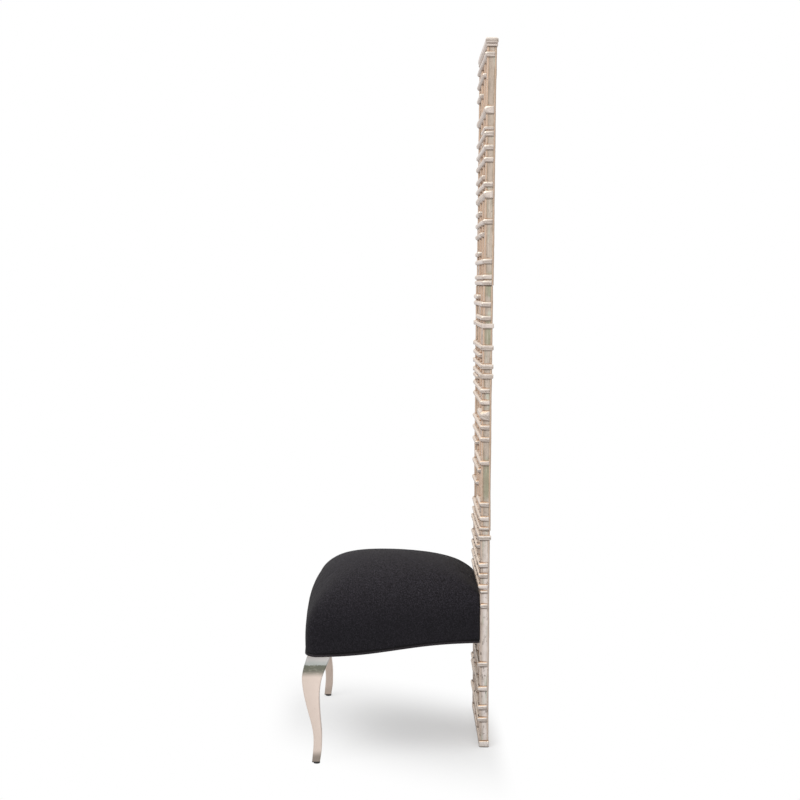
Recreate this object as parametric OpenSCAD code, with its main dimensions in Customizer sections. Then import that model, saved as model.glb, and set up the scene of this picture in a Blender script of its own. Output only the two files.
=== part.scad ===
// Tall-backed side chair: a domed wool seat on two curved front legs, carried
// at the rear by a narrow fretwork back that stands on the floor itself.
// Origin: on the floor, in the middle of the chair's width and depth.
// +Z is up, the sitter faces -Y and the sitter's left side is +X.

/* [Back] */
// Height from the floor to the top of the back
back_h = 2000; // [1900:5:2200]
// Width over the outer faces of the two stiles
back_w = 380; // [350:2:440]
// Lateral width of each stile
stile_w = 26; // [22:0.5:32]
// Lateral width of each inner upright
inner_w = 18; // [14:0.5:22]
// Distance of an inner upright from the middle of the back
inner_x = 62; // [50:1:75]
// Depth of every upright, front to back
upright_d = 27; // [24:0.5:34]
// Radius of the uprights' front edges
front_edge_r = 3; // [1:0.5:5]
// Radius of the uprights' back edges
back_edge_r = 7; // [3:0.5:8]
// Height of the lower length of the back, from the floor
lower_len = 627; // [600:1:680]
// Height of the middle length of the back
middle_len = 693; // [640:1:740]
// How far each length is set back behind the one below it
set_back = 2; // [0:0.5:3]
// Backward lean that each length adds to the one below it, in degrees
lean_step = 0.25; // [0:0.05:0.5]
// Height of the top rail
top_rail_h = 24; // [18:0.5:32]
// Height of the bottom rail
bottom_rail_h = 20; // [16:0.5:28]
// How far the two rails stand out past the stiles all round
rail_over = 4; // [2:0.5:6]

/* [Cross sticks] */
// Height of a plain stick
stick_h = 14; // [11:0.5:16]
// Height of a thin stick
thin_h = 9; // [6:0.5:10]
// Height of a wide stick
wide_h = 22; // [18:0.5:25]
// Height of a block
block_h = 28; // [24:0.5:32]
// How far a stick stands out in front of the uprights
stick_front = 6; // [3:0.5:8]
// Wood that is left in an upright behind the lap of a stick
lap_web = 5; // [3:0.5:8]
// How far a stick's end stands out past the stile
stick_end = 4; // [2:0.5:6]
// How far a stick runs on past the inner upright that it stops at
stick_past = 10; // [6:0.5:16]
// How far a deep end reaches behind the stile
deep_end = 3; // [1:0.5:5]
// Radius of a stick's back edges
stick_back_r = 3; // [1:0.5:4]
// Width of a short post between two sticks
post_w = 12; // [8:0.5:16]
// Smallest clear height between sticks that takes a short post
post_gap_min = 18; // [14:1:30]

/* [Seat] */
// Depth of the seat, from its front corners to the back
seat_d = 488; // [440:2:530]
// Width of the seat at its front corners
seat_w = 690; // [640:2:730]
// How far the seat's front edge bows out in the middle
front_bow = 8; // [0:1:14]
// How far each side of the seat bows out in the middle
side_bow = 6; // [0:1:12]
// Radius of the seat's front corners, seen from above
corner_r = 30; // [20:1:40]
// Mean height of the seat's hem above the floor
hem_h = 304.5; // [290:0.5:320]
// Rise and fall of the hem along the sides
hem_wave = 5; // [0:0.5:7]
// How far the front and the sides swell out between hem and shoulder
wall_swell = 2; // [0:0.5:5]
// Height at which the front starts to round over
front_shoulder_h = 355; // [345:1:385]
// Height at which the sides start to round over
side_shoulder_h = 400; // [388:1:415]
// Height at which the seat's rear edge meets the back
rear_edge_h = 447; // [435:1:452]
// Height of the seat's crown
crown_h = 530; // [500:1:560]
// Distance of the crown from the front of the back
crown_in = 270; // [240:1:320]
// Thickness of the seat's cover with its lining
cover_t = 3; // [2:0.5:4]
// Diameter of the welt cord along the hem
welt_d = 7; // [5:0.5:9]
// How far the welt stands out past the cover
welt_out = 2; // [1:0.5:3]

/* [Seat frame] */
// Height of the frame's underside above the floor
frame_h = 314; // [312:1:330]
// Height of the frame rails
rail_h = 60; // [50:1:64]
// Thickness of the frame rails
rail_t = 22; // [18:0.5:26]
// Length of each front corner block along the rails
block_l = 80; // [70:1:100]
// How far a corner block stays below the top of the rails
block_drop = 10; // [8:0.5:14]
// Thickness of the deck board
deck_t = 12; // [9:0.5:15]
// How far the deck board stays inside the rails' outer faces
deck_in = 5; // [3:0.5:10]
// Thickness of the dust cloth below the frame
cloth_t = 2; // [1:0.5:2]

/* [Front legs] */
// Distance of each foot's middle inside the seat's front corner, seen from the front
foot_side_in = 27.5; // [24:0.5:40]
// Distance of the feet behind the seat's front corners
foot_in = 30; // [28:0.5:36]
// Width of the foot, seen from the front
foot_w = 25; // [22:0.5:32]
// Width of the leg's top, seen from the front
leg_top_w = 42; // [36:0.5:46]
// How far the top of the leg stands in from the foot
leg_lean_in = 26; // [24:0.5:34]
// Radius of the leg's long edges
leg_edge_r = 4; // [2:0.5:6]
// Diameter of the glide under each foot
glide_d = 18; // [14:0.5:20]
// Height of the glide
glide_h = 5; // [3:0.5:8]
// Diameter of the glide's pin
glide_pin_d = 5; // [4:0.5:6]
// Length of the glide's pin
glide_pin_l = 12; // [8:1:20]

/* [Bolts] */
// Diameter of the bolts
bolt_d = 6; // [5:0.5:8]
// Diameter of the bolt heads
bolt_head_d = 12; // [10:0.5:13]
// Height of the bolt heads
bolt_head_h = 5; // [4:0.5:6]
// Depth at which the bolt heads are sunk in the stiles
bolt_sink = 7; // [6:0.5:9]
// Depth of the leg bolts in the legs
leg_bolt_in = 40; // [25:1:60]
// Distance of the stile bolts from the top and the bottom of the rear rail
bolt_edge = 15; // [12:0.5:20]

/* [Hidden] */
// Clearance between the cover and what it is stretched over
cover_gap = 0.3;
// Clearance round a bolt or a pin in its hole
hole_gap = 0.2;
// Straight pieces that make up a rounded corner
arc_steps = 5;
// Cutters run this far past what they cut
cut_over = 1;
// Clear height between the seat's rear edge and the first stick that stands out
stick_clear = 8;
// Lateral place of the short posts in the two outer bays
outer_post_x = (back_w / 2 - stile_w + inner_x + inner_w / 2) / 2;
post_columns = [-outer_post_x, 0, outer_post_x];

stick_back = upright_d - lap_web;
// The joints stay shut at the back although each length leans a little more
lift = upright_d * sin(lean_step);
upper_len = back_h - lower_len - middle_len - 2 * lift;

// Side view of the front leg, from the foot up: share of the height,
// reach in front of the foot's middle, reach behind it
leg_rows = [
    [0, 13, 9], [0.10, 10, 13.5], [0.18, 8.5, 14.5], [0.27, 10, 14.5],
    [0.36, 15.5, 12], [0.46, 24, 9.5], [0.57, 32.5, 8], [0.665, 38, 9.5],
    [0.755, 40.5, 15], [0.835, 37, 24], [0.91, 30, 34],
    [0.96, 24.5, 42], [1, 21.5, 49]
];
leg_span_steps = 3;

// Front of the lower length: the middle of the chair's depth is at Y = 0, and the
// depth runs from the seat's bowed hem or the knees to the back of the top rail
front_out = max(front_bow + welt_out, max([for (r = leg_rows) r[1]]) - foot_in);
top_out = upright_d + rail_over + 2 * set_back
    + middle_len * sin(lean_step) + upper_len * sin(2 * lean_step);
panel_y = (seat_d + front_out - top_out) / 2;
seat_front_y = panel_y - seat_d;
crown_y = panel_y - crown_in;

// Sticks from the floor up: clear height below, size, reach across the back.
// The clear heights are shared out over what the sticks leave of each length.
lower_rows = [
    [56, "stick", "full"], [21, "stick", "right"], [19, "stick", "left"],
    [7, "stick", "full"], [57, "stick", "full"], [155, "stick", "full"],
    [30, "thin", "stub"], [3, "stick", "full"], [18, "stick", "full"],
    [16, "stick", "full"], [19, "stick", "long left"], [31, "stick", "deep"],
    [12, "end", "none"]
];
middle_rows = [
    [3, "thin", "full"], [17, "stick", "full"], [26, "stick", "right"],
    [15, "stick", "left"], [39, "stick", "long left"], [22, "stick", "long right"],
    [17, "stick", "left"], [22, "stick", "full"], [20, "stick", "full"],
    [12, "block", "right"], [16, "stick", "full"], [19, "stick", "full"],
    [10, "stick", "left"], [3, "stick", "deep"], [13, "stick", "deep"],
    [12, "stick", "long left"], [13, "stick", "deep"], [47, "stick", "deep"],
    [8, "stick", "long right"], [25, "stick", "full"], [5, "stick", "left"],
    [26, "end", "none"]
];
upper_rows = [
    [1, "stick", "full"], [2, "stick", "full"], [30, "stick", "full"],
    [11, "stick", "left"], [38, "stick", "long left"], [19, "stick", "full"],
    [19, "stick", "left"], [23, "wide", "full"], [10, "stick", "full"],
    [14, "stick", "long left"], [26, "stick", "full"], [20, "stick", "full"],
    [23, "stick", "full"], [3, "thin", "right"], [35, "wide", "full"],
    [51, "stick", "left"], [27, "stick", "long left"], [27, "stick", "full"],
    [14, "end", "none"]
];
rows_of = [lower_rows, middle_rows, upper_rows];
// Where the uprights of each length start and end, above the length's own foot
upright_from = [bottom_rail_h, 0, 0];
upright_to = [lower_len, middle_len, upper_len - top_rail_h];

function total(v, i = 0) = i < len(v) ? v[i] + total(v, i + 1) : 0;
function height_of(size) =
    size == "thin" ? thin_h : size == "wide" ? wide_h
    : size == "block" ? block_h : size == "end" ? 0 : stick_h;

// Underside of stick i of length n, above the length's own foot
function share(n) =
    (upright_to[n] - upright_from[n] - total([for (r = rows_of[n]) height_of(r[1])]))
    / total([for (r = rows_of[n]) r[0]]);
function stick_z(n, i) =
    upright_from[n] + share(n) * total([for (k = [0:i]) rows_of[n][k][0]])
    + total([for (k = [0:1:i - 1]) height_of(rows_of[n][k][1])]);
function stick_size(n, i) = height_of(rows_of[n][i][1]);
function reach(n, i) = rows_of[n][i][2];

// A stick behind the seat lies level with the uprights
function behind_seat(n, i) =
    n == 0 && stick_z(n, i) < rear_edge_h + stick_clear
    && stick_z(n, i) + stick_size(n, i) > hem_h - hem_wave - stick_clear;
function stick_y(n, i) = behind_seat(n, i) ? 0 : -stick_front;

// Ends of a stick's reach across the back
outer_end = back_w / 2 + stick_end;
near_end = inner_x - inner_w / 2 - stick_past;
far_end = inner_x + inner_w / 2 + stick_past;
function is_full(r) = r == "full" || r == "deep";
function from_x(r) =
    r == "stub" ? back_w / 2 - stile_w - stick_past
    : r == "right" ? near_end : r == "long right" ? -far_end : -outer_end;
function to_x(r) = r == "left" ? -near_end : r == "long left" ? far_end : outer_end;
function crosses(r, x) = r != "none" && from_x(r) < x && x < to_x(r);

full_sticks = [
    for (n = [0:2]) for (i = [0:len(rows_of[n]) - 1]) if (is_full(reach(n, i))) [n, i]
];
function stick_name(k) = str("cross_stick_", k < 9 ? "0" : "", k + 1);

// Rectangle with four rounded corners, from the lower left corner on round
function corner_arc(x, y, r, turn) =
    [for (k = [0:arc_steps]) let (a = turn + 90 * k / arc_steps) [x + r * cos(a), y + r * sin(a)]];
function rounded(x0, x1, y0, y1, r) = concat(
    corner_arc(x0 + r[0], y0 + r[0], r[0], 180),
    corner_arc(x1 - r[1], y0 + r[1], r[1], 270),
    corner_arc(x1 - r[2], y1 - r[2], r[2], 0),
    corner_arc(x0 + r[3], y1 - r[3], r[3], 90)
);

// Frame of each length of the back: X lateral, Y back from the front of the uprights
module in_length(n) {
    if (n == 0)
        translate([0, panel_y, 0]) children();
    else
        in_length(n - 1)
            translate([0, set_back, lift + (n == 1 ? lower_len : middle_len)])
                rotate([-lean_step, 0, 0]) children();
}

module along_x(x0, x1) {
    translate([x0, 0, 0]) rotate([90, 0, 90]) linear_extrude(x1 - x0) children();
}

// Side view of a stick: its front is a half round
module stick_side(y0, y1, h) {
    front_r = min(h / 2 - 0.5, (y1 - y0) / 3);
    back_r = min(stick_back_r, h / 3);
    polygon(rounded(y0, y1, 0, h, [front_r, back_r, back_r, front_r]));
}

// Bar along X with a rounded side view and rounded ends
module bar(x0, x1, y0, y1, h, end_r) {
    four = [end_r, end_r, end_r, end_r];
    intersection() {
        along_x(x0 - cut_over, x1 + cut_over) stick_side(y0, y1, h);
        translate([0, 0, -cut_over])
            linear_extrude(h + 2 * cut_over) polygon(rounded(x0, x1, y0, y1, four));
        translate([0, y1 + cut_over, 0]) rotate([90, 0, 0])
            linear_extrude(y1 - y0 + 2 * cut_over) polygon(rounded(x0, x1, 0, h, four));
    }
}

module deep_pad(side, h) {
    x = side * (back_w / 2 + stick_end / 2);
    bar(x - stick_end / 2, x + stick_end / 2, -stick_front, upright_d + deep_end, h, stick_end / 3);
}

module stick(n, i) {
    r = reach(n, i);
    h = stick_size(n, i);
    in_length(n) translate([0, 0, stick_z(n, i)]) {
        bar(from_x(r), to_x(r), stick_y(n, i), stick_back, h, stick_end);
        if (r == "deep") {
            deep_pad(-1, h);
            deep_pad(1, h);
        }
    }
}

module cross_stick(k) {
    color([0.84, 0.78, 0.73]) stick(full_sticks[k][0], full_sticks[k][1]);
}

module part_sticks(n) {
    color([0.82, 0.77, 0.73])
        for (i = [0:len(rows_of[n]) - 1])
            if (reach(n, i) != "none" && !is_full(reach(n, i))) stick(n, i);
}

// Upright of length n with a lap for every stick that crosses it
module upright(n, x, w) {
    difference() {
        translate([x, 0, upright_from[n]])
            linear_extrude(upright_to[n] - upright_from[n])
                polygon(rounded(-w / 2, w / 2, 0, upright_d,
                    [front_edge_r, front_edge_r, back_edge_r, back_edge_r]));
        for (i = [0:len(rows_of[n]) - 1])
            if (crosses(reach(n, i), x))
                translate([0, 0, stick_z(n, i)])
                    along_x(x - w / 2 - cut_over, x + w / 2 + cut_over)
                        stick_side(stick_y(n, i), stick_back, stick_size(n, i));
    }
}

module stile(n, side) {
    color([0.72, 0.72, 0.67])
        difference() {
            in_length(n) upright(n, side * (back_w - stile_w) / 2, stile_w);
            if (n == 0) stile_bolt_holes(side);
        }
}

module inner_uprights(n) {
    color([0.78, 0.66, 0.56])
        for (side = [-1, 1]) in_length(n) upright(n, side * inner_x, inner_w);
}

// One post between two neighbouring sticks that both pass it, in turn over the columns
module short_posts() {
    color([0.80, 0.70, 0.62])
        for (n = [0:2])
            for (i = [0:len(rows_of[n]) - 3]) {
                x = post_columns[(i + n) % len(post_columns)];
                low = stick_z(n, i) + stick_size(n, i);
                high = stick_z(n, i + 1);
                if (crosses(reach(n, i), x) && crosses(reach(n, i + 1), x) && high - low >= post_gap_min)
                    in_length(n) translate([x, 0, low])
                        linear_extrude(high - low)
                            polygon(rounded(-post_w / 2, post_w / 2, 0, stick_back,
                                [1, 1, 1, 1] * front_edge_r));
            }
}

module top_rail() {
    color([0.90, 0.84, 0.79])
        in_length(2) translate([0, 0, upright_to[2]])
            bar(-back_w / 2 - rail_over, back_w / 2 + rail_over, -rail_over, upright_d + rail_over,
                top_rail_h, rail_over);
}

module bottom_rail() {
    color([0.88, 0.82, 0.77])
        in_length(0)
            bar(-back_w / 2 - rail_over / 2, back_w / 2 + rail_over / 2, -rail_over / 4,
                upright_d + rail_over / 4, bottom_rail_h, rail_over / 2);
}

// Plan of the seat, drawn in by some distance on every side
front_pts = 7;
side_pts = 7;
back_pts = 4;
function seat_side_x(y, in) =
    let (f = (y - seat_front_y) / seat_d)
    seat_w / 2 + (back_w - seat_w) / 2 * f - in;
function plan_side(f, in) = [
    seat_side_x(seat_front_y + corner_r + f * (seat_d - corner_r - in), in)
        + side_bow * sin(180 * f),
    seat_front_y + corner_r + f * (seat_d - corner_r - in)
];
function plan_corner(k, in) =
    let (
        a = -90 + 90 * k / arc_steps,
        r = corner_r - in,
        top_x = plan_side(0, in)[0]
    )
    [top_x - r + r * cos(a), seat_front_y + corner_r + r * sin(a)];
function plan_right(in) = concat(
    [for (k = [1:front_pts - 1])
        let (x = plan_corner(0, in)[0] * k / front_pts)
        [x, seat_front_y + in - front_bow * (1 - pow(k / front_pts, 2))]],
    [for (k = [0:arc_steps]) plan_corner(k, in)],
    [for (k = [1:side_pts]) plan_side(k / side_pts, in)],
    [for (k = [1:back_pts - 1]) [plan_side(1, in)[0] * (1 - k / back_pts), panel_y - in]]
);
function flip(v) = [for (k = [len(v) - 1:-1:0]) [-v[k][0], v[k][1]]];
function seat_plan(in) = concat(
    [[0, seat_front_y + in - front_bow]], plan_right(in),
    [[0, panel_y - in]], flip(plan_right(in))
);

function hem_z(y) = hem_h - hem_wave * sin(360 * (y - seat_front_y) / seat_d);

// The dome: full in front, rounder to the sides and almost a parabola to the back
front_fullness = 3.2;
side_fullness = 1.8;
back_fullness = 1.6;
// How soon the rings of the dome turn from the seat's plan into ovals
oval_rate = 0.7;
// Shares of a plan point that lie to the front, to the side and to the back
function toward(q) =
    let (d = q - [0, crown_y], s = d[1] / norm(d), w = s * s)
    [s < 0 ? w : 0, 1 - w, s < 0 ? 0 : w];
function rim_z(q, in) =
    toward(q) * [front_shoulder_h, side_shoulder_h, rear_edge_h] - in;
function dome_point(q, s, in) =
    let (
        d = q - [0, crown_y],
        u = d / norm(d),
        half = seat_side_x(crown_y, in),
        long = u[1] < 0 ? crown_y - seat_front_y - in : panel_y - in - crown_y,
        oval = 1 / norm([u[0] / half, u[1] / long]),
        mix = pow(1 - s, oval_rate),
        p = s * (d * (1 - mix) + u * oval * mix),
        fullness = toward(q) * [front_fullness, side_fullness, back_fullness],
        rise = pow(max(1 - s * s, 0), 1 / fullness),
        low = rim_z(q, in)
    )
    [p[0], crown_y + p[1], low + (crown_h - in - low) * rise];
dome_rings = 10;
wall_rings = 3;
// Layer of the wall, from the hem or from some floor height up to the shoulder
function wall_point(q, t, in, floor_z) =
    let (
        out = (q - [0, crown_y]) / norm(q - [0, crown_y]) * wall_swell * sin(180 * t),
        low = floor_z == undef ? hem_z(q[1]) + welt_d + cover_gap : floor_z
    )
    [q[0] + out[0], q[1] + min(out[1], 0), low + (rim_z(q, in) - low) * t];
function dome_layers(in, floor_z) =
    let (plan = seat_plan(in))
    concat(
        [for (k = [0:wall_rings - 1]) [for (q = plan) wall_point(q, k / wall_rings, in, floor_z)]],
        [for (k = [0:dome_rings - 1]) [for (q = plan) dome_point(q, cos(90 * k / dome_rings), in)]]
    );
function crown_of(in) = [0, crown_y, crown_h - in];

function flatten(v) = [for (a = v) for (b = a) b];
// Walls between rings of n points that start at point "first", seen from outside
function ring_faces(rings, n, first) = [
    for (k = [0:rings - 2]) for (i = [0:n - 1])
        let (
            a = first + k * n + i,
            b = first + k * n + (i + 1) % n
        )
        each [[a, a + n, b + n], [a, b + n, b]]
];
function cap_faces(n, first, tip) = [for (i = [0:n - 1]) [first + i, tip, first + (i + 1) % n]];
function turned(faces) = [for (f = faces) [f[2], f[1], f[0]]];

module seat_cover() {
    outer = dome_layers(0);
    inner = dome_layers(cover_t);
    n = len(outer[0]);
    rings = len(outer);
    size = n * rings;
    points = concat(flatten(outer), [crown_of(0)], flatten(inner), [crown_of(cover_t)]);
    hem = [
        for (i = [0:n - 1])
            let (j = (i + 1) % n)
            each [[i, j, size + 1 + j], [i, size + 1 + j, size + 1 + i]]
    ];
    faces = concat(
        ring_faces(rings, n, 0),
        cap_faces(n, n * (rings - 1), size),
        turned(ring_faces(rings, n, size + 1)),
        turned(cap_faces(n, size + 1 + n * (rings - 1), 2 * size + 1)),
        hem
    );
    color([0.16, 0.16, 0.16])
        difference() {
            polyhedron(points, faces);
            stile_bolt_holes(-1);
            stile_bolt_holes(1);
        }
}

deck_top = frame_h + rail_h + deck_t;
frame_in = cover_t + cover_gap;

// Foam: what the cover encloses above the deck board
module seat_foam() {
    layers = dome_layers(frame_in, frame_h);
    n = len(layers[0]);
    rings = len(layers);
    color([0.86, 0.80, 0.62])
        intersection() {
            polyhedron(
                concat(flatten(layers), [crown_of(frame_in)]),
                concat(
                    ring_faces(rings, n, 0),
                    cap_faces(n, n * (rings - 1), n * rings),
                    [[for (i = [0:n - 1]) i]]
                )
            );
            translate([-seat_w, -seat_d, deck_top]) cube([2 * seat_w, 2 * seat_d, crown_h]);
        }
}

// Welt: a cord round the front and the two sides, under the edge of the cover
welt_sides = 8;
welt_path = let (right = plan_right(0), last = len(right) - back_pts)
    concat(
        flip([for (k = [0:last]) right[k]]),
        [[0, seat_front_y - front_bow]],
        [for (k = [0:last]) right[k]]
    );
function welt_normal(k) =
    let (
        a = welt_path[max(k - 1, 0)],
        b = welt_path[min(k + 1, len(welt_path) - 1)],
        d = b - a
    )
    k == 0 ? [-1, 0] : k == len(welt_path) - 1 ? [1, 0] : [d[1], -d[0]] / norm(d);

module seat_welt() {
    last = len(welt_path) - 1;
    points = [
        for (k = [0:last])
            let (out = welt_normal(k), q = welt_path[k] + out * (welt_out - welt_d / 2))
            for (i = [0:welt_sides - 1])
                let (a = 360 * (i + 0.5) / welt_sides, r = welt_d / 2 * cos(a))
                [
                    q[0] + out[0] * r,
                    min(q[1] + out[1] * r, panel_y),
                    hem_z(q[1]) + welt_d / 2 + welt_d / 2 * sin(a)
                ]
    ];
    color([0.12, 0.12, 0.12])
        polyhedron(points, concat(
            turned(ring_faces(last + 1, welt_sides, 0)),
            [[for (i = [welt_sides - 1:-1:0]) i]],
            [[for (i = [0:welt_sides - 1]) last * welt_sides + i]]
        ));
}

// Deck board: it stays inside the first curve of the dome
module seat_deck() {
    color([0.80, 0.68, 0.48])
        translate([0, 0, frame_h + rail_h])
            linear_extrude(deck_t) polygon(seat_plan(frame_in + deck_in));
}

// Plan of the frame: the rails meet the corner blocks end to end
frame_front = seat_front_y + frame_in;
frame_rear = panel_y - frame_in;
corner_x = plan_corner(0, frame_in)[0];
block_x = corner_x - (block_l - corner_r);
block_y = frame_front + block_l;
// Width of a side rail, measured across the chair
rail_across = rail_t / cos(atan((seat_w - back_w) / 2 / seat_d));

module front_rail() {
    color([0.78, 0.64, 0.44])
        translate([-block_x, frame_front, frame_h]) cube([2 * block_x, rail_t, rail_h]);
}

module rear_rail() {
    half = seat_side_x(frame_rear, frame_in);
    color([0.78, 0.64, 0.44])
        difference() {
            translate([-half, frame_rear - rail_t, frame_h]) cube([2 * half, rail_t, rail_h]);
            stile_bolt_holes(-1);
            stile_bolt_holes(1);
        }
}

module side_rail(side) {
    y1 = frame_rear - rail_t;
    color([0.76, 0.62, 0.42])
        translate([0, 0, frame_h]) linear_extrude(rail_h)
            polygon([for (p = [
                [seat_side_x(block_y, frame_in), block_y],
                [seat_side_x(y1, frame_in), y1],
                [seat_side_x(y1, frame_in) - rail_across, y1],
                [seat_side_x(block_y, frame_in) - rail_across, block_y]
            ]) [side * p[0], p[1]]]);
}

module corner_blocks() {
    plan = concat(
        [[block_x, frame_front]],
        [for (k = [0:arc_steps]) plan_corner(k, frame_in)],
        [
            [seat_side_x(block_y, frame_in), block_y],
            [seat_side_x(block_y, frame_in) - rail_across, block_y],
            [block_x, frame_front + rail_t]
        ]
    );
    color([0.74, 0.60, 0.42])
        for (side = [-1, 1])
            difference() {
                translate([0, 0, frame_h]) linear_extrude(rail_h - block_drop)
                    polygon([for (p = plan) [side * p[0], p[1]]]);
                leg_bolt_hole(side);
            }
}

// Dust cloth inside the rails, cut away round the legs
module dust_cloth() {
    cut_x = leg_x(frame_h) - leg_top_w / 2 - 2 * cover_t;
    cut_y = foot_y + leg_rows[len(leg_rows) - 1][2] + 2 * cover_t;
    edge = frame_in + welt_d;
    half = [
        [0, seat_front_y + edge], [cut_x, seat_front_y + edge], [cut_x, cut_y],
        [seat_side_x(cut_y, edge), cut_y], [seat_side_x(panel_y - edge, edge), panel_y - edge]
    ];
    color([0.10, 0.10, 0.10])
        translate([0, 0, frame_h - cloth_t]) linear_extrude(cloth_t)
            polygon(concat(half, flip(half)));
}

foot_x = seat_w / 2 - foot_side_in;
foot_y = seat_front_y + foot_in;
leg_len = frame_h - glide_h;
// Middle of the leg, seen from the front, at some height
function leg_x(z) =
    foot_x - leg_lean_in * pow(max(z - glide_h, 0) / leg_len, 2);
function leg_w(z) =
    foot_w + (leg_top_w - foot_w) * pow(max(z - glide_h, 0) / leg_len, 1.6);

// Smooth curve through the rows of the side view
function bend(a, b, c, d, t) =
    0.5 * (2 * b + (c - a) * t + (2 * a - 5 * b + 4 * c - d) * t * t + (3 * b - a - 3 * c + d) * t * t * t);
function leg_row(i) = leg_rows[max(0, min(i, len(leg_rows) - 1))];
leg_curve = concat(
    [for (i = [0:len(leg_rows) - 2]) for (k = [0:leg_span_steps - 1])
        bend(leg_row(i - 1), leg_row(i), leg_row(i + 1), leg_row(i + 2), k / leg_span_steps)],
    [leg_rows[len(leg_rows) - 1]]
);

module leg(side) {
    four = [leg_edge_r, leg_edge_r, leg_edge_r, leg_edge_r];
    rings = [
        for (c = leg_curve)
            let (z = glide_h + leg_len * c[0], x = leg_x(z), w = leg_w(z))
            [for (p = rounded(x - w / 2, x + w / 2, foot_y - c[1], foot_y + c[2], four))
                [side * p[0], p[1], z]]
    ];
    n = len(rings[0]);
    last = len(rings) - 1;
    walls = ring_faces(last + 1, n, 0);
    faces = concat(
        walls,
        [[for (i = [0:n - 1]) i]],
        [[for (i = [n - 1:-1:0]) last * n + i]]
    );
    flipped = [for (f = faces) [for (k = [len(f) - 1:-1:0]) f[k]]];
    color([0.85, 0.80, 0.75])
        difference() {
            polyhedron(flatten(rings), side > 0 ? faces : flipped);
            leg_bolt_hole(side);
            translate([side * foot_x, foot_y, glide_h - cut_over])
                cylinder(d = glide_pin_d + 2 * hole_gap, h = glide_pin_l + cut_over + hole_gap, $fn = 24);
        }
}

module glides() {
    color([0.08, 0.08, 0.08])
        for (side = [-1, 1]) translate([side * foot_x, foot_y, 0]) {
            cylinder(d = glide_d, h = glide_h, $fn = 48);
            translate([0, 0, glide_h]) cylinder(d = glide_pin_d, h = glide_pin_l, $fn = 24);
        }
}

// Leg bolts stand in the corner blocks over the middle of each leg's top
leg_bolt_top = frame_h + rail_h - block_drop;
leg_bolt_x = leg_x(frame_h);
leg_bolt_y = foot_y + (leg_rows[len(leg_rows) - 1][2] - leg_rows[len(leg_rows) - 1][1]) / 2;
leg_bolt_len = rail_h - block_drop + leg_bolt_in;

module leg_bolt_hole(side) {
    translate([side * leg_bolt_x, leg_bolt_y, leg_bolt_top - leg_bolt_len - cut_over])
        cylinder(d = bolt_d + 2 * hole_gap, h = leg_bolt_len + 2 * cut_over, $fn = 24);
}

// Stile bolts run forward from the back of each stile into the rear rail
stile_bolt_x = (back_w - stile_w) / 2;
stile_bolt_seat = upright_d - bolt_sink;
stile_bolt_len = stile_bolt_seat + frame_in + rail_t;
stile_bolt_heights = [frame_h + bolt_edge, frame_h + rail_h - bolt_edge];

module stile_bolt_holes(side) {
    for (z = stile_bolt_heights)
        translate([side * stile_bolt_x, panel_y + stile_bolt_seat, z]) rotate([90, 0, 0]) {
            translate([0, 0, -cut_over])
                cylinder(d = bolt_d + 2 * hole_gap, h = stile_bolt_len + 2 * cut_over, $fn = 24);
            translate([0, 0, -bolt_sink - cut_over])
                cylinder(d = bolt_head_d + 2 * hole_gap, h = bolt_sink + cut_over, $fn = 36);
        }
}

module bolt(length) {
    translate([0, 0, -length]) cylinder(d = bolt_d, h = length, $fn = 24);
    cylinder(d = bolt_head_d, h = bolt_head_h, $fn = 36);
}

module bolts() {
    color([0.55, 0.55, 0.57])
        for (side = [-1, 1]) {
            translate([side * leg_bolt_x, leg_bolt_y, leg_bolt_top]) bolt(leg_bolt_len);
            for (z = stile_bolt_heights)
                translate([side * stile_bolt_x, panel_y + stile_bolt_seat, z])
                    rotate([-90, 0, 0]) bolt(stile_bolt_len);
        }
}

stile(0, 1);  // left_stile_lower
stile(0, -1);  // right_stile_lower
stile(1, 1);  // left_stile_middle
stile(1, -1);  // right_stile_middle
stile(2, 1);  // left_stile_upper
stile(2, -1);  // right_stile_upper
inner_uprights(0);  // inner_uprights_lower
inner_uprights(1);  // inner_uprights_middle
inner_uprights(2);  // inner_uprights_upper
short_posts();
top_rail();
bottom_rail();
part_sticks(0);  // part_sticks_lower
part_sticks(1);  // part_sticks_middle
part_sticks(2);  // part_sticks_upper
seat_cover();
seat_foam();
seat_welt();
seat_deck();
dust_cloth();
front_rail();
rear_rail();
side_rail(1);  // left_side_rail
side_rail(-1);  // right_side_rail
corner_blocks();
leg(1);  // left_leg
leg(-1);  // right_leg
glides();
bolts();
for (k = [0:len(full_sticks) - 1])
    cross_stick(k);
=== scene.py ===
"""Dresses a high-backed side chair: a wool seat on two leafed legs before a tall fretwork back.

Everything is in metres. +Z is up, the sitter faces -Y and the sitter's left side is +X.
"""
import logging
import math
from dataclasses import dataclass
from enum import Enum
from typing import Any, Iterable

import bmesh
import bpy
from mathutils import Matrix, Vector
from mathutils.bvhtree import BVHTree


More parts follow.
